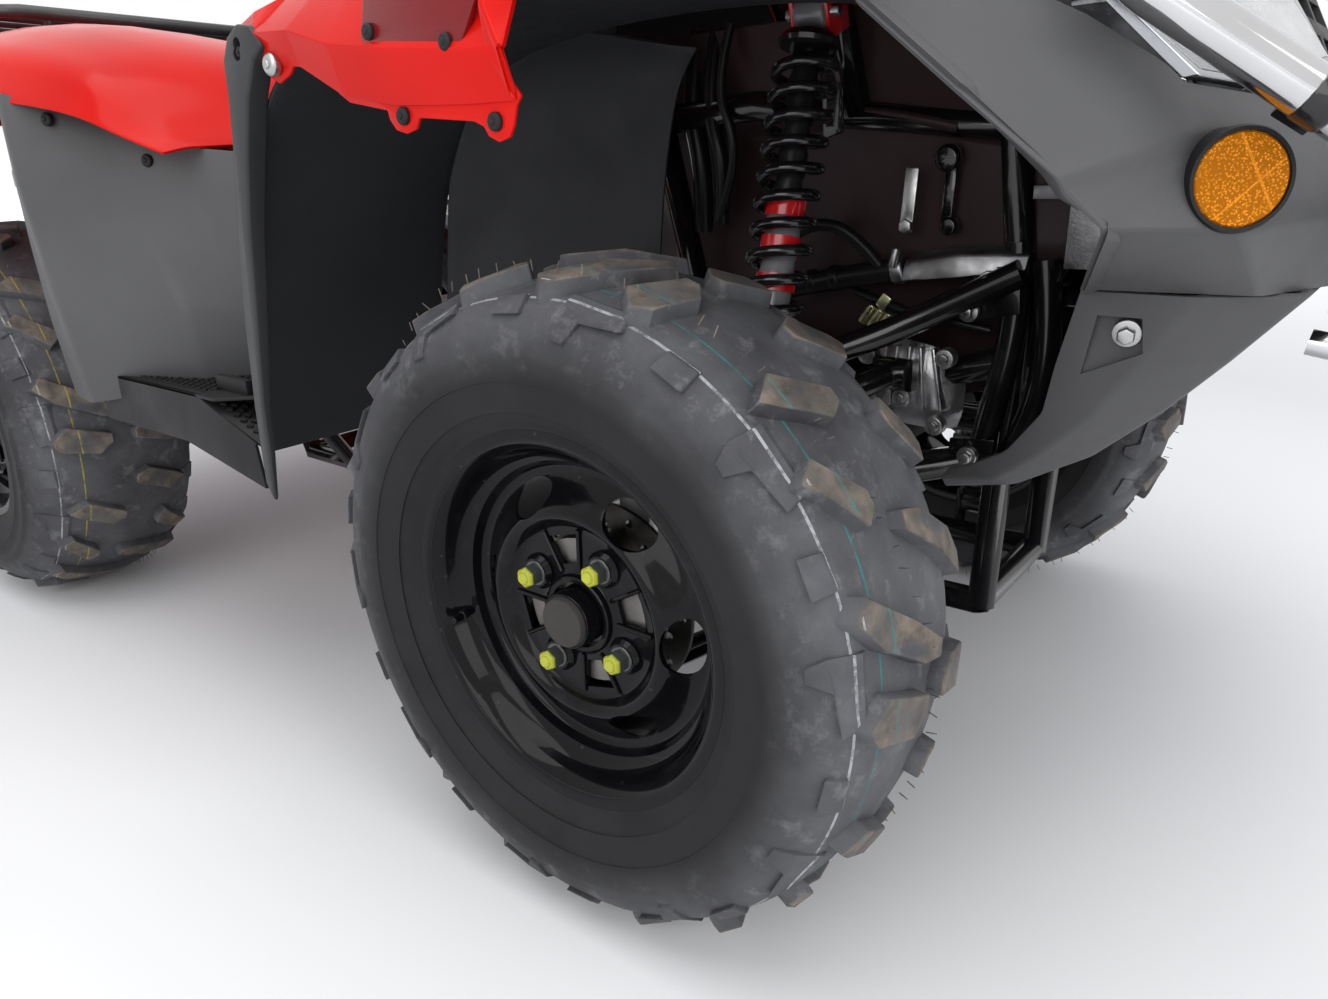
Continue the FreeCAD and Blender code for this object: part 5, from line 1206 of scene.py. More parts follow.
# (ahead of the front axle, across, above the floor) in mm, from the flange behind the arch to the middle
NOSE_ROWS = [
    [(338, 330, 575), (330, 345, 575), (440, 330, 575), (478, 240, 575), (490, 0, 575)],
    [(372, 434, 620), (364, 452, 622), (430, 385, 618), (476, 262, 622), (488, 0, 622)],
    [(346, 478, 642), (352, 488, 644), (398, 398, 664), (452, 262, 678), (464, 0, 678)],
    [(340, 484, 652), (350, 500, 653), (396, 405, 676), (450, 262, 690), (462, 0, 690)],
    [(300, 494, 701), (292, 512, 701), (379, 402, 712), (440, 262, 716), (455, 0, 716)],
    [(239, 502, 752), (231, 520, 752), (350, 400, 756), (415, 262, 752), (430, 0, 752)],
    [(198, 502, 838), (190, 520, 838), (300, 395, 838), (365, 262, 838), (385, 0, 838)],
]

# the chin's stations from the seam down to its tip: back edge, fold, lower edge and the middle below
CHIN_ROWS = [
    [(330, 335, 573), (405, 337, 573), (466, 300, 573), (474, 0, 570)],
    [(316, 326, 515), (372, 330, 520), (425, 285, 522), (432, 0, 518)],
    [(308, 316, 475), (345, 318, 478), (385, 270, 476), (392, 0, 472)],
    [(276, 294, 432), (305, 300, 436), (335, 255, 428), (340, 0, 424)],
    [(240, 266, 408), (262, 272, 399), (272, 240, 388), (274, 0, 384)],
    [(214, 246, 398), (208, 250, 386), (208, 236, 373), (208, 0, 369)],
]
CHIN_POCKET = [(343, 556), (373, 556), (376, 531), (335, 511)]

# mm ahead of the front axle and above the floor, up the back of the arch and over it
ARCH_LINE = [(-434, 377), (-426, 470), (-404, 594), (-366, 700), (-300, 762), (-180, 788), (0, 794),
             (140, 784), (226, 754)]
LAMP_OUTLINE = [(196, 720), (206, 766), (300, 798), (404, 784), (436, 752), (392, 704), (330, 698)]
GRILLE_OUTLINE = [(-140, 630), (-158, 800), (158, 800), (140, 630)]

# mm ahead of the front axle and above the floor: lower lip of the red side panel with its three tabs
SKIRT_LIP = [(-321, 757), (-314, 745), (-298, 737), (-281, 743), (-272, 751), (-249, 752), (-234, 742),
             (-214, 724), (-202, 717), (-155, 709), (-153, 702), (-146, 694), (-134, 691), (-122, 694),
             (-117, 702), (-56, 697), (-46, 693), (-41, 686), (-31, 682), (-20, 685), (-15, 693),
             (-11, 706), (-6, 712), (-26, 736), (-200, 744), (-290, 770)]
SKIRT_RECESS = [(-163, 757), (-54, 741), (-30, 776), (-44, 797), (-150, 802)]
SKIRT_CLIPS = [(-134, 704), (-32, 696)]
SKIRT_SCREWS = [(-150, 764), (-64, 750)]
STRIP_OUTLINE = [(-354, 778), (-337, 787), (-318, 784), (-302, 767), (-318, 757), (-336, 726), (-352, 676),
                 (-368, 612), (-378, 548), (-388, 490), (-396, 440), (-399, 385), (-404, 332), (-416, 352),
                 (-413, 434), (-405, 517), (-389, 614), (-374, 685), (-368, 728), (-366, 760)]

# (ahead of the front axle, across, above the floor) in mm, down the rear flare from its top,
# each from the inner end round to the outer edge and its return
FLARE_ROWS = [
    [(-560, -430, 686), (-648, -462, 694), (-757, -507, 737), (-831, -574, 758), (-872, -562, 762)],
    [(-560, -428, 640), (-632, -458, 646), (-716, -507, 662), (-821, -580, 662), (-868, -564, 662)],
    [(-562, -426, 580), (-612, -452, 585), (-680, -507, 598), (-806, -579, 580), (-872, -562, 580)],
    [(-565, -424, 500), (-596, -446, 500), (-636, -502, 515), (-796, -574, 490), (-880, -556, 490)],
    [(-575, -424, 412), (-590, -440, 412), (-628, -498, 420), (-796, -563, 390), (-884, -545, 386)],
]


class Body(Maker):
    """Coloured and grey panels round the machine."""

    def front_fender(self) -> None:
        """Red front fender with its lipped side panel, a recess shown by painted shade, tabs and fasteners.
        """
        panel = facets(across(FENDER_ROWS, FRONT_AXLE), 0.0035, (0.45, 0, 0.5), 0.007, 5.0)
        carve(panel, [block((0.26, 0.412, 0.3), from_front(-320, 0, 870), round_by=0),
                      block((0.08, 0.076, 0.4), from_front(-128, 0, 800), round_by=0)])
        lip = plate(side_on(SKIRT_LIP, -548), (0, 0.003, 0), 0.0009)
        carve(lip, [rod(0.0045, 0.02, place, (0, 1, 0), 20, 1, 0) for place in side_on(SKIRT_CLIPS, -556)])
        self.done(joined([panel, pair(lip)], "fender"), "front_fender_shell", "red_plastic", "chassis",
                  "red_panel", "front_fender")
        # the recess is a flat plate whose darker red paints the recess's shade
        recess = plate(side_on(SKIRT_RECESS, -560.5), (0, 0.006, 0), 0.002)
        self.twins([recess], "skirt_recess", "red_recess", "chassis", "red_panel")
        clips = [bolt(place, (0, -1, 0), 0.0062, 0.003) for place in side_on(SKIRT_SCREWS, -560)]
        clips += [bolt(place, (0, -1, 0), 0.0068) for place in side_on(SKIRT_CLIPS, -547)]
        self.twins(clips, "fender_clips", "black_plastic", "chassis", "black_panel")
        rivet = bolt(from_front(-298, -549, 752), (0, -1, 0), 0.0095, 0.006)
        self.twins([rivet], "fender_rivet", "zinc_grey", "chassis", "steel")

    def rear_fender(self) -> None:
        """Red rear fender over both rear wheels, with its lips."""
        panel = sheet(across(REAR_FENDER_ROWS, REAR_AXLE), 0.0035, (-0.7, 0, 0.5), (1, 3, 4, 7, 8, 10))
        carve(panel, [block((0.2, 0.366, 0.3), (0.0476, 0, 0.75), round_by=0)])
        self.done(panel, "rear_fender_shell", "red_plastic", "chassis", "red_panel", "rear_fender")
        rows = [[(REAR_AXLE.x + x / 1000, -(half[0][0] - inset) / 1000, (half[0][1] - below) / 1000)
                 for inset, below in ((4, 34), (0, 16), (0, 2))] for x, half in REAR_FENDER_ROWS[4:]]
        self.twins([sheet(rows, 0.004, (-0.7, 0, 0.5))], "rear_lips", "grey_plastic", "chassis", "grey_panel",
                   "rear_flare_lips")

    def fascia(self) -> None:
        """Grey nose with its lamp and grille openings, and the black cover behind its top edge."""
        nose = facets([mirrored(half) for half in NOSE_ROWS], 0.004, (0.7, 0, 0.7), 0.0035, 6.0)
        openings = [[(side * y, z) for y, z in LAMP_OUTLINE] for side in (1, -1)] + [GRILLE_OUTLINE]
        carve(nose, [plate([from_front(120, y, z) for y, z in opening], (0.6, 0, 0), 0)
                     for opening in openings])
        self.done(nose, "nose_shell", "grey_plastic", "chassis", "grey_panel", "front_fascia")
        front = mirrored([(183, 500, 831), (293, 392, 831), (358, 262, 831), (378, 0, 831)])
        middle = [from_front(150 + 0.3 * index, 980 * y, 828) for index, (_, y, _) in enumerate(front)]
        back = [from_front(90, 960 * y, 800) for _, y, _ in front]
        cover = facets([front, middle, back], 0.003, (0.7, 0, 0.5), 0.004, 8.0)
        self.done(cover, "nose_cover", "black_plastic", "chassis", "black_panel")

    def guard(self) -> None:
        """Grey chin below the nose with its bolted recess."""
        chin = facets([mirrored(half) for half in CHIN_ROWS], 0.004, (0.72, 0, 0.56), 0.004, 6.0)
        carve(chin, [plate(side_on(CHIN_POCKET, side * 345), (0, -side * 0.04, 0), 0) for side in (-1, 1)])
        floor = plate(side_on([(338, 562), (381, 562), (381, 524), (328, 505)], -323), (0, 0.002, 0), 0)
        self.done(joined([chin, pair(floor)], "chin"), "chin_shell", "grey_plastic", "chassis", "grey_panel",
                  "front_guard")
        way = Vector((0.08, -0.97, -0.2)).normalized()
        seat = Vector(from_front(363, -324, 545))
        bolts = [rod(0.0105, 0.003, seat + way * 0.0005, way, 28, 0.95, 0.0004),
                 rod(0.0066, 0.008, seat + way * 0.003, way, 6, 0.9, 0.0006)]
        self.twins(bolts, "chin_bolts", "zinc_grey", "chassis", "steel")

    def mudguards(self) -> None:
        """Black liners of the front arches, each with its inner wall."""
        outer = sheet([side_on(ARCH_LINE, -y) for y in (536, 500, 420, 340, 292)], 0.004, (0.6, -0.3, 1.6))
        wall = {294: [(-412, 470), (-387, 650), (-366, 700), (-300, 762), (-180, 788)],
                262: [(-372, 490), (-350, 640), (-318, 705), (-262, 758), (-165, 786)],
                226: [(-250, 566), (-246, 640), (-226, 710), (-190, 752), (-140, 780)],
                202: [(-150, 560), (-143, 640), (-130, 710), (-118, 748), (-96, 774)]}
        inner = sheet([side_on(row, -y) for y, row in wall.items()], 0.004, (0.2, 0.4, 0.6))
        self.twins([outer, inner], "arch_liners", "liner_plastic", "chassis", "black_panel", "mudguards")

    def edges(self) -> None:
        """Grey strips down the outer edge of the front arches, with a slotted head."""
        outside = -0.558
        strip = plate(side_on(STRIP_OUTLINE, outside * 1000), (0, 0.0215, 0), 0)
        for vertex in strip.data.vertices:
            if vertex.co.y > -0.54:
                vertex.co.y = outside + 0.006 + 0.0155 * min(1.0, (vertex.co.z - 0.33) / 0.36)
        soften(strip, 0.0028, 3, 25)
        carve(strip, [rod(0.0055, 0.05, place, (0, 1, 0), 24, 1, 0)
                      for place in side_on([(-341, 763), (-339, 771)], -580)])
        self.twins([strip], "arch_edges", "strip_plastic", "chassis", "grey_panel", "mudguard_edges")
        clip = bolt(from_front(-340, -553, 765), (0, -1, 0), 0.0048, 0.003)
        self.twins([clip], "edge_clips", "black_plastic", "chassis", "black_panel")

    def flares(self) -> None:
        """Grey side panels ahead of the rear wheels, with two fasteners each."""
        panel = facets([ahead(row) for row in FLARE_ROWS], 0.004, (-0.2, 0.4, 0.5), 0.009, 5.0)
        clips = [bolt(place, (0.3, -1, 0.1), 0.0075, 0.005)
                 for place in ahead([(-789, -541, 728), (-688, -483, 680)])]
        self.twins([panel], "rear_flare_panels", "grey_plastic", "chassis", "grey_panel", "rear_flares")
        self.twins(clips, "flare_clips", "black_plastic", "chassis", "black_panel")

    def tank(self) -> None:
        """Black cover over the tank and between the knees."""
        rows = [(-618, [(182, 692), (181, 770), (116, 845), (40, 856)]),
                (-470, [(182, 684), (184, 820), (124, 900), (40, 912)]),
                (-320, [(192, 688), (196, 845), (134, 922), (40, 934)]),
                (-204, [(196, 720), (198, 830), (136, 900), (40, 910)])]
        cover = sheet(across(rows, FRONT_AXLE), 0.0035, (0.2, 0, 0.7), (1, 2, 5, 6))
        self.done(cover, "tank_shell", "black_plastic", "chassis", "black_panel", "tank_cover")

    def footboards(self) -> None:
        """Footboards with a gripping tread of small studs, a rolled front edge and a toothed peg."""
        top = 428
        fall = math.atan2(44, 110)
        outline = [(-800, 545), (-520, 545), (-440, 470), (-440, 250), (-800, 250)]
        skirt = [(-800, top), (-560, top), (-448, 386), (-440, 336), (-600, 366), (-800, 366)]
        bevel = [(-560, -545, top), (-440, -540, 384), (-440, -300, 384), (-520, -300, top)]
        pieces = [plate([from_front(x, -y, top - 4) for x, y in outline], (0, 0, 0.004)),
                  plate(side_on(skirt, -545), (0, 0.004, 0)), plate(ahead(bevel), (0, 0, -0.004))]
        stud = block((0.0062, 0.0062, 0.0026), (0, 0, 0), (0, 0, math.pi / 4), 0)
        for row in range(28):
            for column in range(26):
                x = (row - 20) * 13 + (column % 2) * 6.5
                y = -300 - column * 9.2
                if row < 20:
                    place = Matrix.Translation(from_front(-820 - x, y, top + 0.8))
                else:
                    along = x + 8
                    slope = from_front(-552 + along * math.cos(fall), y, top + 1 - along * math.sin(fall))
                    place = Matrix.Translation(slope) @ Matrix.Rotation(fall, 4, "Y")
                pieces.append(copied(stud, place))
        bpy.data.objects.remove(stud)
        pieces += [block((0.064, 0.009, 0.018), from_front(-530, -320 - 48 * tooth, top + 8))
                   for tooth in range(5)]
        self.twins(pieces, "footboard_trays", "black_plastic", "chassis", "black_panel", "footboards")

    def reflectors(self) -> None:
        """Round reflectors in their black rings."""
        way = Vector((0.54, -0.84, 0.05)).normalized()
        seat = Vector(from_front(423, -389, 649)) - way * 0.006
        disc = [(0, 0), (0, 0.0276), (0.010, 0.0274), (0.0115, 0.026), (0.0115, 0)]
        ring = [(-0.016, 0.0274), (-0.016, 0.0308), (0.0095, 0.0308), (0.0122, 0.0296), (0.0122, 0.0274),
                (0.0095, 0.0274)]
        self.twins([spun_along(disc, seat, way, 64)], "reflex_discs", "amber_lens", "chassis", "amber_lens",
                   "reflectors")
        self.twins([spun_along(ring, seat, way, 64)], "reflex_rings", "black_plastic", "chassis",
                   "black_panel")

    @staticmethod
    def nose_depth(y: float, z: float) -> float:
        """How far ahead of the front axle the nose stands there, in mm."""
        return 478 - 0.000525 * y * y - 0.55 * (z - 690)

    def headlamps(self) -> None:
        """Headlamps with silver bezels and bowls behind clear lenses."""
        outline = [(196, 722), (208, 764), (300, 794), (400, 781), (430, 751), (388, 706), (332, 701)]
        middle_y, middle_z = [sum(values) / len(outline) for values in zip(*outline)]
        rings = []
        for share, back in ((1.0, 4), (0.96, -4), (0.86, -3), (0.80, 24)):
            rings.append([from_front(self.nose_depth(y, z) - back, -(middle_y + (y - middle_y) * share),
                                     middle_z + (z - middle_z) * share) for y, z in outline])
        closed = [ring + ring[:1] for ring in rings]
        pieces = [facets(closed, 0.003, from_front(200, -300, 740), 0.0015, 10.0)]
        bowl = [(0, 0.012), (0.010, 0.022), (0.022, 0.031), (0.026, 0.033), (0.026, 0.036), (0.0, 0.018),
                (0.0, 0.012)]
        for y in (265, 345):
            place = from_front(self.nose_depth(y, 745) - 44, -y, 745)
            pieces.append(spun_along(bowl, Vector(place), Vector((1, 0, 0)), 40))
        self.twins(pieces, "lamp_bezels", "lamp_silver", "chassis", "bright_tube", "headlights")
        self.twins([plate(rings[2], (-0.004, 0, 0))], "lamp_lenses", "clear_lens", "chassis", "lamp_lens")

    def bumper(self) -> None:
        """Bright bumper tube round the nose, its stays and the black clamps that hold it."""
        half = [(247, -340, 912), (273, -340, 912), (330, -402, 860), (356, -440, 762), (468, -400, 684),
                (513, -318, 652), (528.5, -120, 636)]
        stay = [(512, 250, 645), (508, 200, 570), (486, 130, 512), (462, 130, 516)]
        tubes = [tube(eased(ahead(half + [(x, -y, z) for x, y, z in reversed(half)]), 0.045), 0.0148, 7)]
        tubes += [tube(eased([from_front(x, side * y, z) for x, y, z in stay], 0.02), 0.0108)
                  for side in (-1, 1)]
        self.done(joined(tubes, "hoop"), "bumper_hoop", "bright_tube", "chassis", "bright_tube",
                  "front_bumper")
        bracket = [(444, -398, 694), (462, -394, 682), (450, -372, 672), (432, -378, 684)]
        clamps = [rod(0.0165, 0.014, from_front(452, -406, 696), (0.8, 0.28, -0.55), 28, 0.95, 0.002),
                  plate(ahead(bracket), (0.003, 0.003, 0.006))]
        self.twins(clamps, "bumper_clamps", "spring_black", "chassis", "frame_paint")

    def build(self) -> None:
        """Builds every panel."""
        for step in (self.footboards, self.reflectors, self.headlamps, self.bumper, self.front_fender,
                     self.rear_fender, self.fascia, self.guard, self.mudguards, self.edges, self.flares,
                     self.tank):
            step()


class Suspension(Maker):
    """Front shock absorbers with their coils, and the parts round them."""

    TOP = Vector((0.6106, -0.222, 0.79))
    # sections of the front one, as (along, radius)
    LOW_SEAT = [(0, 0.008), (0, 0.030), (0.003, 0.0315), (0.0055, 0.0305), (0.0055, 0.008)]
    HIGH_SEAT = [(0, 0.008), (0, 0.0265), (0.004, 0.028), (0.010, 0.024), (0.012, 0.012), (0.012, 0.006)]
    BODY = [(0, 0), (0, 0.0165), (0.014, 0.0165), (0.0145, 0.0178), (0.020, 0.0178), (0.0205, 0.0165),
            (0.150, 0.0165), (0.152, 0.0150), (0.158, 0.0150), (0.158, 0)]
    SLEEVE = [(0, 0.0168), (0, 0.0190), (0.016, 0.0190), (0.016, 0.0168)]

    def coil(self, foot: Vector, top: Vector, radius: float, wire: float, turns: float,
             squeeze: float = 1.0) -> Thing:
        """Coil spring between two seats, its turns closer at the top."""
        way = (top - foot).normalized()
        side = way.orthogonal().normalized()
        other = way.cross(side)
        length = (top - foot).length
        steps = int(turns * 14)
        points = []
        for step in range(steps + 1):
            share = step / steps
            turn = math.tau * turns * share
            rise = wire + (length - 2 * wire) * (share ** (1 / squeeze))
            out = side * math.cos(turn) + other * math.sin(turn)
            points.append(tuple(foot + way * rise + out * radius))
        return tube(points, wire, 3)

    def front(self) -> None:
        """Both front shock absorbers: coil, body, seats, top bracket and lower parts."""
        low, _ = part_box("shock_absorbers")
        top = self.TOP
        foot = Vector((top.x, -0.305, low[2] + 0.017))
        way = (top - foot).normalized()
        start, end = foot + way * 0.050, top - way * 0.030
        LOG.info("shock from %s to %s", foot, top)
        coil = self.coil(start, end, 0.0266, 0.0054, 10.3, 1.12)
        low_seat = spun_along(self.LOW_SEAT, start - way * 0.006, way)
        high_seat = spun_along(self.HIGH_SEAT, end, way)
        body = spun_along(self.BODY, foot + way * 0.016, way)
        sleeves = [spun_along(self.SLEEVE, foot + way * (0.064 + 0.034 * index), way) for index in range(4)]
        eyes = [rod(0.0148, 0.026, place - Vector((0.013, 0, 0)), (1, 0, 0), 24, 0.9, 0.0015)
                for place in (foot, top)]
        folds = [(0.008 * fold, 0.0118 if fold % 2 else 0.0142) for fold in range(17)]
        gaiter = [(0, 0)] + folds + [(0.128, 0)]
        self.twins([coil, high_seat], "front_coils", "spring_black", "chassis", "spring", "shock_springs")
        self.twins([body, low_seat] + eyes, "front_dampers", "damper_grey", "chassis", "damper",
                   "shock_absorbers")
        self.twins(sleeves, "damper_sleeves", "shock_red", "chassis", "damper")
        self.twins([spun_along(gaiter, foot + way * 0.174, way)], "damper_gaiters", "hose_rubber", "chassis",
                   "boots")
        cheeks = [block((0.005, 0.040, 0.058), from_front(x, -214, 800), (0.35, 0, 0)) for x in (28, 62)]
        self.twins(cheeks, "shock_brackets", "shock_red", "chassis", "frame_paint")
        pin = rod(0.0055, 0.052, from_front(19, -222, 790), (1, 0, 0), 6, 0.9, 0.0005)
        self.twins([pin], "shock_bolts", "zinc_grey", "chassis", "steel")

    def rear(self) -> None:
        """Rear shock absorber with its coil."""
        low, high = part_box("rear_shock")
        foot = Vector((REAR_AXLE.x + 0.116, 0, low[2] + 0.016))
        top = Vector((REAR_AXLE.x + 0.25, 0, high[2] - 0.016))
        way = (top - foot).normalized()
        coil = self.coil(foot + way * 0.042, top - way * 0.046, 0.0325, 0.0052, 8.2)
        body = [(0, 0), (0, 0.019), (0.11, 0.019), (0.112, 0.008), (0.22, 0.008), (0.22, 0)]
        seat = [(0, 0), (0, 0.034), (0.004, 0.038), (0.008, 0.036), (0.008, 0)]
        pieces = [spun_along(body, foot + way * 0.006, way)]
        pieces += [spun_along(seat, place, way) for place in (foot + way * 0.036, top - way * 0.046)]
        pieces += [rod(0.0158, 0.03, place - Vector((0, 0.015, 0)), (0, 1, 0), 24, 0.9, 0.0015)
                   for place in (foot, top)]
        self.done(joined(pieces, "rear_damper"), "rear_damper", "damper_grey", "chassis", "damper",
                  "rear_shock")
        self.done(coil, "rear_coil", "shock_red", "chassis", "spring")

    def build(self) -> None:
        """Builds all shock absorbers."""
        self.front()
        self.rear()


# rows in mm ahead of the front axle, across and above the floor, from the lowest up
SPLASH_ROWS = [
    [(-205, -78, 470), (-60, -74, 425), (40, -72, 415), (120, -70, 415), (190, -72, 430)],
    [(-205, -86, 560), (-28, -90, 562), (60, -96, 568), (200, -96, 580), (272, -96, 588)],
    [(-205, -90, 690), (-28, -92, 690), (40, -98, 700), (160, -98, 680), (262, -96, 664)],
    [(-205, -112, 704), (-28, -120, 702), (40, -122, 712), (160, -118, 694), (258, -112, 678)],
    [(-205, -128, 796), (-28, -150, 796), (60, -160, 800), (170, -160, 792), (240, -150, 770)],
]
SHIELD_ROWS = [
    [(104, -128, 546), (160, -130, 552), (226, -122, 562)],
    [(106, -124, 566), (162, -126, 575), (228, -118, 577)],
    [(108, -100, 572), (164, -102, 582), (228, -100, 582)],
]
CASTING_ROWS = [
    [(58, -96, 470), (96, -112, 486), (140, -114, 480), (166, -96, 462)],
    [(52, -100, 446), (92, -122, 452), (142, -124, 450), (172, -100, 440)],
    [(60, -98, 414), (96, -118, 412), (144, -118, 408), (170, -98, 410)],
    [(76, -84, 390), (100, -96, 388), (140, -96, 386), (160, -84, 388)],
]
# radius in m of each hose and its route: the brake hose, its boot, two coolant hoses and two wires
HOSES = [
    (0.0065, [(-34, -150, 556), (-20, -150, 585), (14, -145, 604), (52, -135, 594), (78, -124, 560)]),
    (0.0125, [(-40, -128, 530), (0, -126, 538), (50, -122, 548), (96, -118, 556)]),
    (0.0110, [(-150, -120, 800), (-160, -130, 730), (-140, -126, 650), (-150, -116, 590)]),
    (0.0085, [(-120, -130, 800), (-128, -140, 720), (-104, -138, 660), (-118, -126, 600)]),
    (0.0050, [(-90, -150, 800), (-108, -154, 740), (-84, -150, 690), (-96, -140, 640), (-120, -130, 600)]),
    (0.0045, [(40, -100, 530), (90, -112, 516), (150, -118, 508), (196, -112, 500)]),
]
UPRIGHTS = [
    [(214, -104, 586), (218, -106, 540), (214, -108, 470), (200, -110, 400), (196, -112, 366)],
    [(226, -128, 560), (150, -134, 520), (82, -160, 486), (40, -190, 470)],
    [(196, -112, 366), (150, -130, 352), (90, -160, 342), (30, -190, 338)],
    [(240, -104, 570), (252, -106, 500), (246, -106, 420), (226, -108, 372)],
]


class Bay(Maker):
    """What shows behind the right front wheel: splash panels, brackets, hoses, castings and bolts."""

    def splash(self) -> None:
        """Splash panels from the frame up to the fender, each with its step and brackets."""
        panel = facets([ahead(row) for row in SPLASH_ROWS], 0.003, (0.7, 0.3, 0.5), 0.004, 8.0)
        step = tube(ahead([(20, -128, 715), (90, -126, 706), (150, -122, 692)]), 0.006)
        self.twins([panel, step], "splash_walls", "splash_plastic", "chassis", "black_panel", "splash_panels")
        slotted = plate(side_on([(14, 770), (40, 770), (44, 690), (22, 684)], -152), (0, 0.003, 0))
        carve(slotted, [block((0.008, 0.02, 0.016), from_front(29, -152, z), round_by=0)
                        for z in (752, 728, 704)])
        clevis = [rod(0.013, 0.010, from_front(138, -104, 664), (0, -1, 0), 28, 0.8),
                  block((0.012, 0.008, 0.055), from_front(141, -108, 628), (0, 0.05, 0)),
                  rod(0.009, 0.010, from_front(144, -104, 600), (0, -1, 0), 24, 0.8)]
        self.twins([slotted] + clevis, "bay_brackets", "spring_black", "chassis", "frame_paint")
        straps = [block((0.014, 0.003, 0.062), from_front(106, -124, 625), (0, 0.06, 0)),
                  rod(0.0075, 0.006, from_front(105, -122, 600), (0, -1, 0), 6, 0.9, 0.0005)]
        self.twins(straps, "bay_straps", "zinc_grey", "chassis", "steel")

    def hoses(self) -> None:
        """Brake hose, boot, coolant hoses and wiring behind the wheel."""
        hoses = [tube(ahead(route), radius, 3) for radius, route in HOSES]
        places = [from_front(-28 + 26 * i, -127 + 1.5 * i, 533 + 5.5 * i) for i in range(3)]
        rings = [rod(0.0138, 0.007, place, (1, 0.05, 0.2), 20, 0.9, 0.0008) for place in places]
        self.twins(hoses + rings, "bay_hoses", "hose_rubber", "chassis", "boots")
        clamp = [rod(0.0145, 0.008, from_front(92, -118, 555), (1, 0.05, 0.16), 28, 0.98, 0.0008),
                 rod(0.0045, 0.018, from_front(96, -134, 560), (0.2, 0.1, 1), 12, 0.9, 0.0005)]
        shield = facets([ahead(row) for row in SHIELD_ROWS], 0.0022, (0.7, 0.2, 0.5), 0.004, 8.0)
        self.twins(clamp + [shield], "bay_shields", "satin_alloy", "chassis", "steel")

    def casting(self) -> None:
        """Gear housing behind the wheel with its ribs, screws, plugs and wire clips."""
        screws = [(112, 424), (70, 466), (156, 470), (150, 398), (86, 398)]
        body = facets([ahead(row) for row in CASTING_ROWS], 0.01, (0.68, 0.1, 0.42), 0.006, 6.0)
        places = [from_front(84 + 16 * i, -116 - 2 * (i % 2), 446) for i in range(5)]
        ribs = [block((0.004, 0.016, 0.066), place, (0, 0.2 - 0.1 * i, 0)) for i, place in enumerate(places)]
        bosses = [rod(0.0105, 0.012, place, (0, -1, 0), 28, 0.9) for place in side_on(screws, -114)]
        self.twins([body] + ribs + bosses, "gear_castings", "cast_alloy", "chassis", "cast_metal")
        heads = [rod(0.0062, 0.007, place, (0, -1, 0), 6, 0.9, 0.0005) for place in side_on(screws, -125)]
        self.twins(heads, "casting_screws", "zinc_grey", "chassis", "steel")
        clips = [block((0.012, 0.006, 0.016), from_front(82, -116, 522), (0, 0.6, 0))]
        places = [from_front(56 + 10 * i, -112, 498 - 4 * i) for i in range(3)]
        clips += [rod(0.0055, 0.022, place, (0.5, 0, 0.8), 14, 0.8, 0.0006) for place in places]
        self.twins(clips, "wire_clips", "zinc_gold", "chassis", "steel")

    def front_frame(self) -> None:
        """Bent front uprights with their gussets and flange bolts."""
        pieces = [tube(ahead(route), 0.0138, 5) for route in UPRIGHTS]
        pieces += [plate(side_on([(176, 562), (222, 566), (226, 520), (186, 512)], -124), (0, 0.004, 0)),
                   plate(side_on([(168, 388), (214, 392), (212, 356), (166, 352)], -126), (0, 0.004, 0))]
        self.twins(pieces, "front_uprights", "frame_black", "chassis", "frame_paint")
        bolts = []
        for x, y, z in side_on([(195, 550), (178, 520), (189, 372)], -126):
            bolts += [rod(0.0105, 0.003, (x, y, z), (0, -1, 0), 28, 0.95, 0.0004),
                      rod(0.0068, 0.009, (x, y - 0.003, z), (0, -1, 0), 6, 0.9, 0.0006)]
        self.twins(bolts, "frame_bolts", "zinc_grey", "chassis", "steel")

    def build(self) -> None:
        """Builds everything in the bay."""
        self.splash()
        self.hoses()
        self.casting()
        self.front_frame()


def node_copy(node: str, *steps: Callable[[], object]) -> Thing:
    """Copy of a node of the frame, its mesh edited in steps."""
    thing = bpy.data.objects[node].copy()
    thing.data = bpy.data.objects[node].data.copy()
    bpy.context.scene.collection.objects.link(thing)
    return edited(thing, *steps)


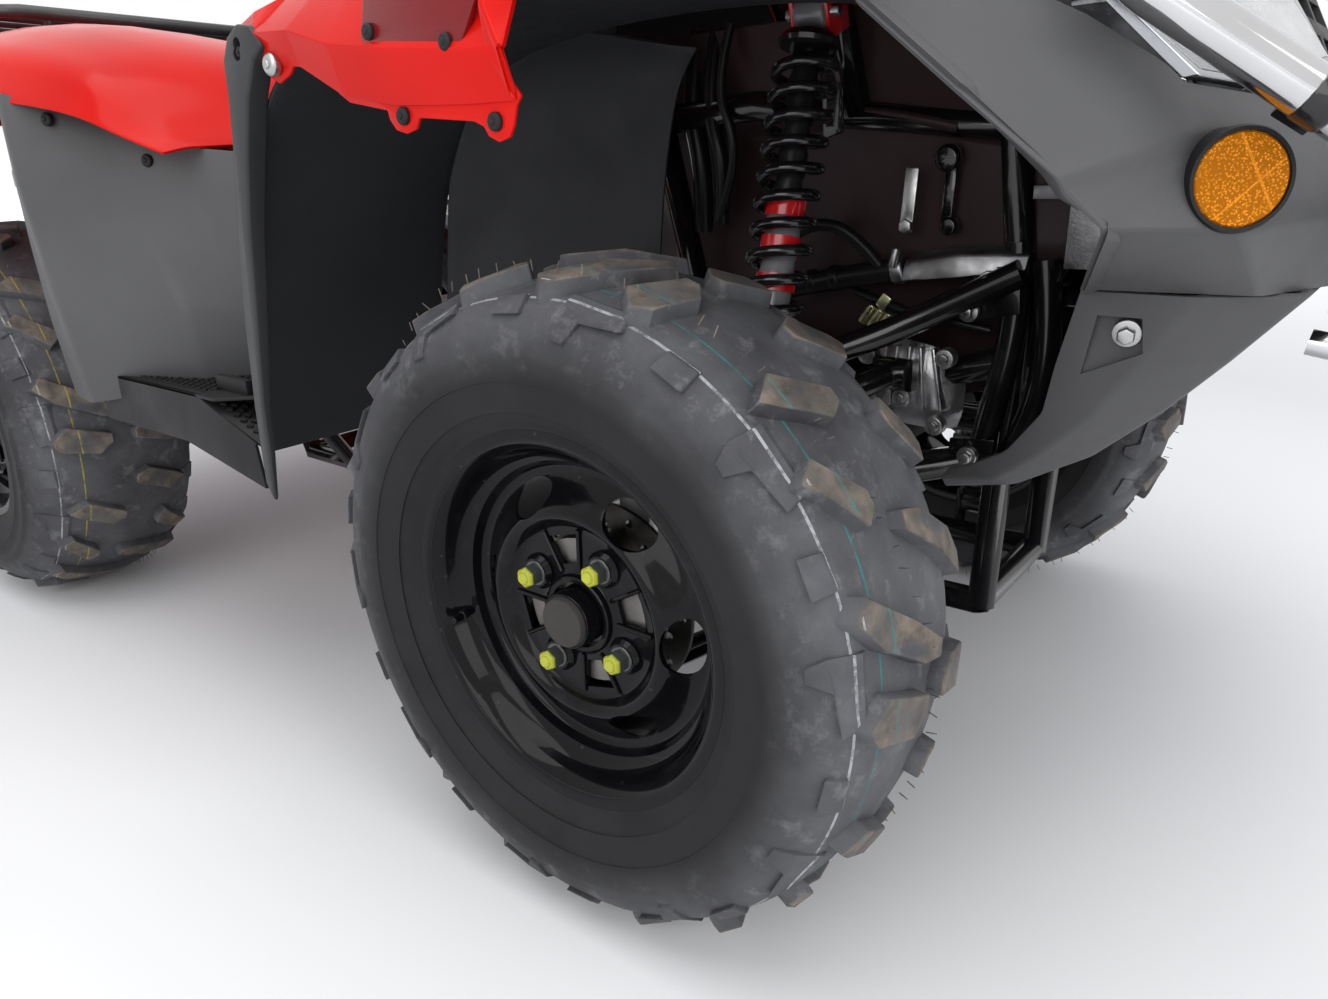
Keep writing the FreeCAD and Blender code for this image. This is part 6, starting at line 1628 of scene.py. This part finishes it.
class Seat(Maker):
    """Padded seat: its cover swells over the foam by a cloth simulation, then gets its channels."""

    # furthest swell, the depth that is held below, and the sewn channels' places
    SWELL = 0.024
    HELD = 0.022
    CHANNELS = (-0.30, -0.335)
    SEAM = 0.058
    CLOTH = {"quality": 5, "mass": 0.3, "tension_stiffness": 14, "compression_stiffness": 14,
             "bending_stiffness": 1.2, "use_pressure": True, "uniform_pressure_force": 4.0,
             "vertex_group_mass": "held"}
    FRAMES = 20

    def swell(self, thing: Thing, floor: float) -> None:
        """Runs the cloth simulation and caps how far each point moves."""
        held = thing.vertex_groups.new(name="held")
        held.add([v.index for v in thing.data.vertices if v.co.z < floor + self.HELD], 1.0, "REPLACE")
        before = [v.co.copy() for v in thing.data.vertices]
        cloth = thing.modifiers.new("cover", "CLOTH")
        for name, value in self.CLOTH.items():
            setattr(cloth.settings, name, value)
        cloth.settings.effector_weights.gravity = 0.0
        cloth.collision_settings.use_collision = False
        scene = bpy.context.scene
        for step in range(1, self.FRAMES + 1):
            scene.frame_set(step)
        only(thing)
        bpy.ops.object.modifier_apply(modifier=cloth.name)
        scene.frame_set(1)
        for vertex, old in zip(thing.data.vertices, before):
            move = vertex.co - old
            if move.length > self.SWELL:
                vertex.co = old + move.normalized() * self.SWELL

    def stitch(self, thing: Thing, floor: float) -> None:
        """Presses the sewn channels and the seam round the side into the cover."""
        seam = floor + self.SEAM
        for vertex in thing.data.vertices:
            x, y, z = vertex.co
            if z > seam + 0.012:
                for channel in self.CHANNELS:
                    gap = abs(x - channel - 0.25 * abs(y) ** 1.2)
                    vertex.co.z -= 0.0045 * math.exp(-(gap / 0.0055) ** 2)
            if abs(y) > 0.09:
                depth = 0.0028 * math.exp(-((z - seam) / 0.0045) ** 2)
                vertex.co.y -= math.copysign(depth, y)

    def build(self) -> None:
        """Builds the seat from a closed even mesh of its solid."""
        low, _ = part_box("seat")
        thing = node_copy("seat", partial(bpy.ops.mesh.remove_doubles, threshold=0.0001))
        modified(thing, "REMESH", mode="VOXEL", voxel_size=0.006)
        self.swell(thing, low[2])
        self.stitch(thing, low[2])
        modified(thing, "SUBSURF", levels=1, render_levels=1)
        bpy.ops.object.shade_smooth()
        self.done(thing, "seat_cushion", "seat_vinyl", "chassis", "seat_cover", "seat")


class Controls(Maker):
    """Hand grips with their ribs and flanges, and brake levers."""

    RIB = 0.0052

    def grips(self) -> None:
        """Ribbed grips over the ends of the handlebar."""
        low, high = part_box("grips")
        inner = Vector((high[0] - 0.020, -0.292, high[2] - 0.0195))
        outer = Vector((low[0] + 0.0205, low[1] + 0.002, low[2] + 0.0195))
        way = (outer - inner).normalized()
        length = (outer - inner).length
        profile = [(0.0, 0.010), (0.0, 0.0195), (0.004, 0.0195), (0.006, 0.0162)]
        for rib in range(int((length - 0.016) / self.RIB)):
            start = 0.008 + rib * self.RIB
            profile += [(start, 0.0150), (start + 0.0008, 0.0163), (start + 0.0034, 0.0163),
                        (start + 0.0042, 0.0150)]
        profile += [(length - 0.006, 0.0172), (length - 0.001, 0.0172), (length, 0.015), (length, 0.0),
                    (0.002, 0.0)]
        LOG.info("grip from %s to %s", inner, outer)
        self.twins([spun_along(profile, inner, way, 40)], "grip_pair", "grip_rubber", "steering", "boots",
                   "grips")

    def levers(self) -> None:
        """Brake levers ahead of the grips."""
        route = [(0.296, -0.275, 1.136), (0.330, -0.290, 1.134), (0.338, -0.330, 1.134),
                 (0.318, -0.385, 1.138)]
        ball = spun_along([(0, 0), (0.001, 0.006), (0.006, 0.0085), (0.011, 0.006), (0.0125, 0.0)],
                          Vector((0.322, -0.376, 1.137)), Vector((-0.25, -0.95, 0.05)), 20)
        self.twins([tube(route, 0.0052), ball], "brake_levers", "zinc_grey", "steering", "steel")

    def build(self) -> None:
        """Builds every control."""
        self.grips()
        self.levers()


class Smoothed(Maker):
    """Finished copies of the frame's round and cast pieces, with their facets rounded off."""

    # node: (finish, body, slot, rounding in mm, angle up to which the surface is one)
    NODES = {
        "frame": ("frame_black", "chassis", "frame_paint", 1.2, 50),
        "swing_arm": ("frame_black", "chassis", "frame_paint", 1.0, 50),
        "steering_column": ("frame_black", "steering", "frame_paint", 0.8, 50),
        "control_arms_right": ("frame_black", "chassis", "frame_paint", 0.8, 50),
        "control_arms_left": ("frame_black", "chassis", "frame_paint", 0.8, 50),
        "front_rack": ("rack_black", "chassis", "rack_paint", 0.6, 62),
        "rear_rack": ("rack_black", "chassis", "rack_paint", 0.6, 62),
        "engine_case": ("case_alloy", "chassis", "casing", 3.0, 40),
        "engine_cylinder": ("cast_alloy", "chassis", "cast_metal", 0.6, 40),
        "half_shafts": ("grip_rubber", "chassis", "boots", 0.8, 50),
        "hand_controls": ("black_plastic", "steering", "black_panel", 1.2, 50),
        "instrument_pod": ("black_plastic", "steering", "black_panel", 5.0, 30),
        "front_grille": ("black_plastic", "chassis", "black_panel", 0.5, 50),
        "fuel_cap": ("black_plastic", "chassis", "black_panel", 1.2, 50),
        "tail_lights": ("red_lens", "chassis", "red_lens", 4.0, 40),
        "radiator": ("case_alloy", "chassis", "casing", 1.0, 40),
        "handlebar": ("zinc_grey", "steering", "steel", 0.8, 62),
        "tie_rod_right": ("zinc_grey", "tie_rod_right", "steel", 0.6, 50),
        "tie_rod_left": ("zinc_grey", "tie_rod_left", "steel", 0.6, 50),
        "knuckle_right": ("cast_alloy", "knuckle_right", "cast_metal", 1.2, 40),
        "knuckle_left": ("cast_alloy", "knuckle_left", "cast_metal", 1.2, 40),
        "exhaust": ("silencer_steel", "chassis", "exhaust", 1.5, 40),
        "front_differential": ("case_alloy", "chassis", "casing", 2.0, 40),
        "rear_axle": ("cast_alloy", "rear_wheels", "cast_metal", 1.0, 40),
    }

    def build(self) -> None:
        """Builds every copy, its doubles merged, its edges rounded and its surface smoothed."""
        merge = partial(bpy.ops.mesh.remove_doubles, threshold=0.00002)
        dissolve = partial(bpy.ops.mesh.dissolve_limited, angle_limit=math.radians(1.0))
        for node, (finish, body, slot, width, angle) in self.NODES.items():
            thing = bevelled(node_copy(node, merge, dissolve), width / 1000, 2, angle + 6)
            self.done(shaded(thing, angle), f"{node}_finished", finish, body, slot, node)


@dataclass
class Studio:
    """Pale floor, white surroundings, soft lamps and the camera."""

    eye: Vector = field(default_factory=lambda: Vector((1.0726, -1.064, 0.666)))
    right: Vector = field(default_factory=lambda: Vector((0.799, 0.601, -0.021)))
    up: Vector = field(default_factory=lambda: Vector((-0.186, 0.281, 0.942)))
    lens: float = 25.63

    def surroundings(self) -> None:
        """White for the camera and for gloss, and soft grey light on the object."""
        world = bpy.data.worlds.new("studio")
        bpy.context.scene.world = world
        tree = Tree(world)
        light = tree.add("Background", {"Color": (0.93, 0.95, 1.0, 1.0), "Strength": 0.6}).outputs[0]
        seen = tree.add("Background", {"Color": (1.0, 1.0, 1.0, 1.0), "Strength": 1.0}).outputs[0]
        rays = tree.add("LightPath", {}).outputs
        gloss = tree.math("MAXIMUM", rays["Is Glossy Ray"], rays["Is Transmission Ray"])
        white = tree.math("MAXIMUM", rays["Is Camera Ray"], gloss)
        mixed = tree.add("MixShader", {0: white, 1: light, 2: seen}).outputs[0]
        tree.add("OutputWorld", {"Surface": mixed})

    def floor(self) -> None:
        """Plain pale floor under the wheels, which fades into the surroundings."""
        bpy.ops.mesh.primitive_circle_add(vertices=96, radius=40, fill_type="NGON", location=(0, 0, 0))
        floor = bpy.context.object
        floor.name = "floor"
        n = Nodes("floor_white", Roughness=0.8, Specular_IOR_Level=0.2, Emission_Strength=1.0)
        n.feed("Base Color", n.ramp(n.noise(0.7), (0.3, (0.84, 0.84, 0.85)), (0.7, 0.88)))
        square = [n.math("MULTIPLY", place, place) for place in n.split("Object")[:2]]
        far = n.math("MULTIPLY", n.math("SQRT", n.math("ADD", *square)), 0.125)
        n.feed("Emission Color", n.ramp(far, (0.3, 0.0), (0.9, 0.75)))
        floor.data.materials.append(n.material)

    def lamp(self, name: str, place: Point, aim: Point, size: float, power: float) -> None:
        """One large soft lamp, aimed at a point."""
        data = bpy.data.lights.new(name, "AREA")
        data.shape = "SQUARE"
        data.size = size
        data.energy = power
        lamp = bpy.data.objects.new(name, data)
        bpy.context.scene.collection.objects.link(lamp)
        way = Vector(aim) - Vector(place)
        lamp.matrix_world = Matrix.Translation(place) @ way.to_track_quat("-Z", "Y").to_matrix().to_4x4()

    def camera(self) -> None:
        """Camera at the photograph's place and angle."""
        data = bpy.data.cameras.new("camera")
        data.sensor_width = 36.0
        data.lens = self.lens
        data.clip_start = 0.02
        camera = bpy.data.objects.new("camera", data)
        bpy.context.scene.collection.objects.link(camera)
        side = self.right.normalized()
        back = side.cross(self.up).normalized()
        turn = Matrix((side, back.cross(side), back)).transposed().to_4x4()
        camera.matrix_world = Matrix.Translation(self.eye) @ turn
        bpy.context.scene.camera = camera

    def build(self) -> None:
        """Builds the whole studio: overcast light from above, a window at the side and a soft fill."""
        bpy.context.scene.view_settings.view_transform = "Standard"
        self.surroundings()
        self.floor()
        self.lamp("sky", (0.6, -0.8, 4.2), (0.3, -0.3, 0.4), 4.0, 110.0)
        self.lamp("side", (1.4, -4.2, 2.2), (0.4, -0.4, 0.4), 3.0, 66.0)
        self.lamp("front", (4.4, -0.6, 1.9), (0.5, 0.0, 0.5), 2.6, 48.0)
        self.camera()


def main() -> None:
    """Builds the classes in order."""
    logging.basicConfig(level=logging.INFO, format="%(message)s")
    Studio().build()
    shop = Paintshop()
    shop.dress_frame()
    for assembly in (Wheels, Body, Suspension, Bay, Seat, Controls, Smoothed):
        assembly(shop).build()


if __name__ == "__main__":
    main()
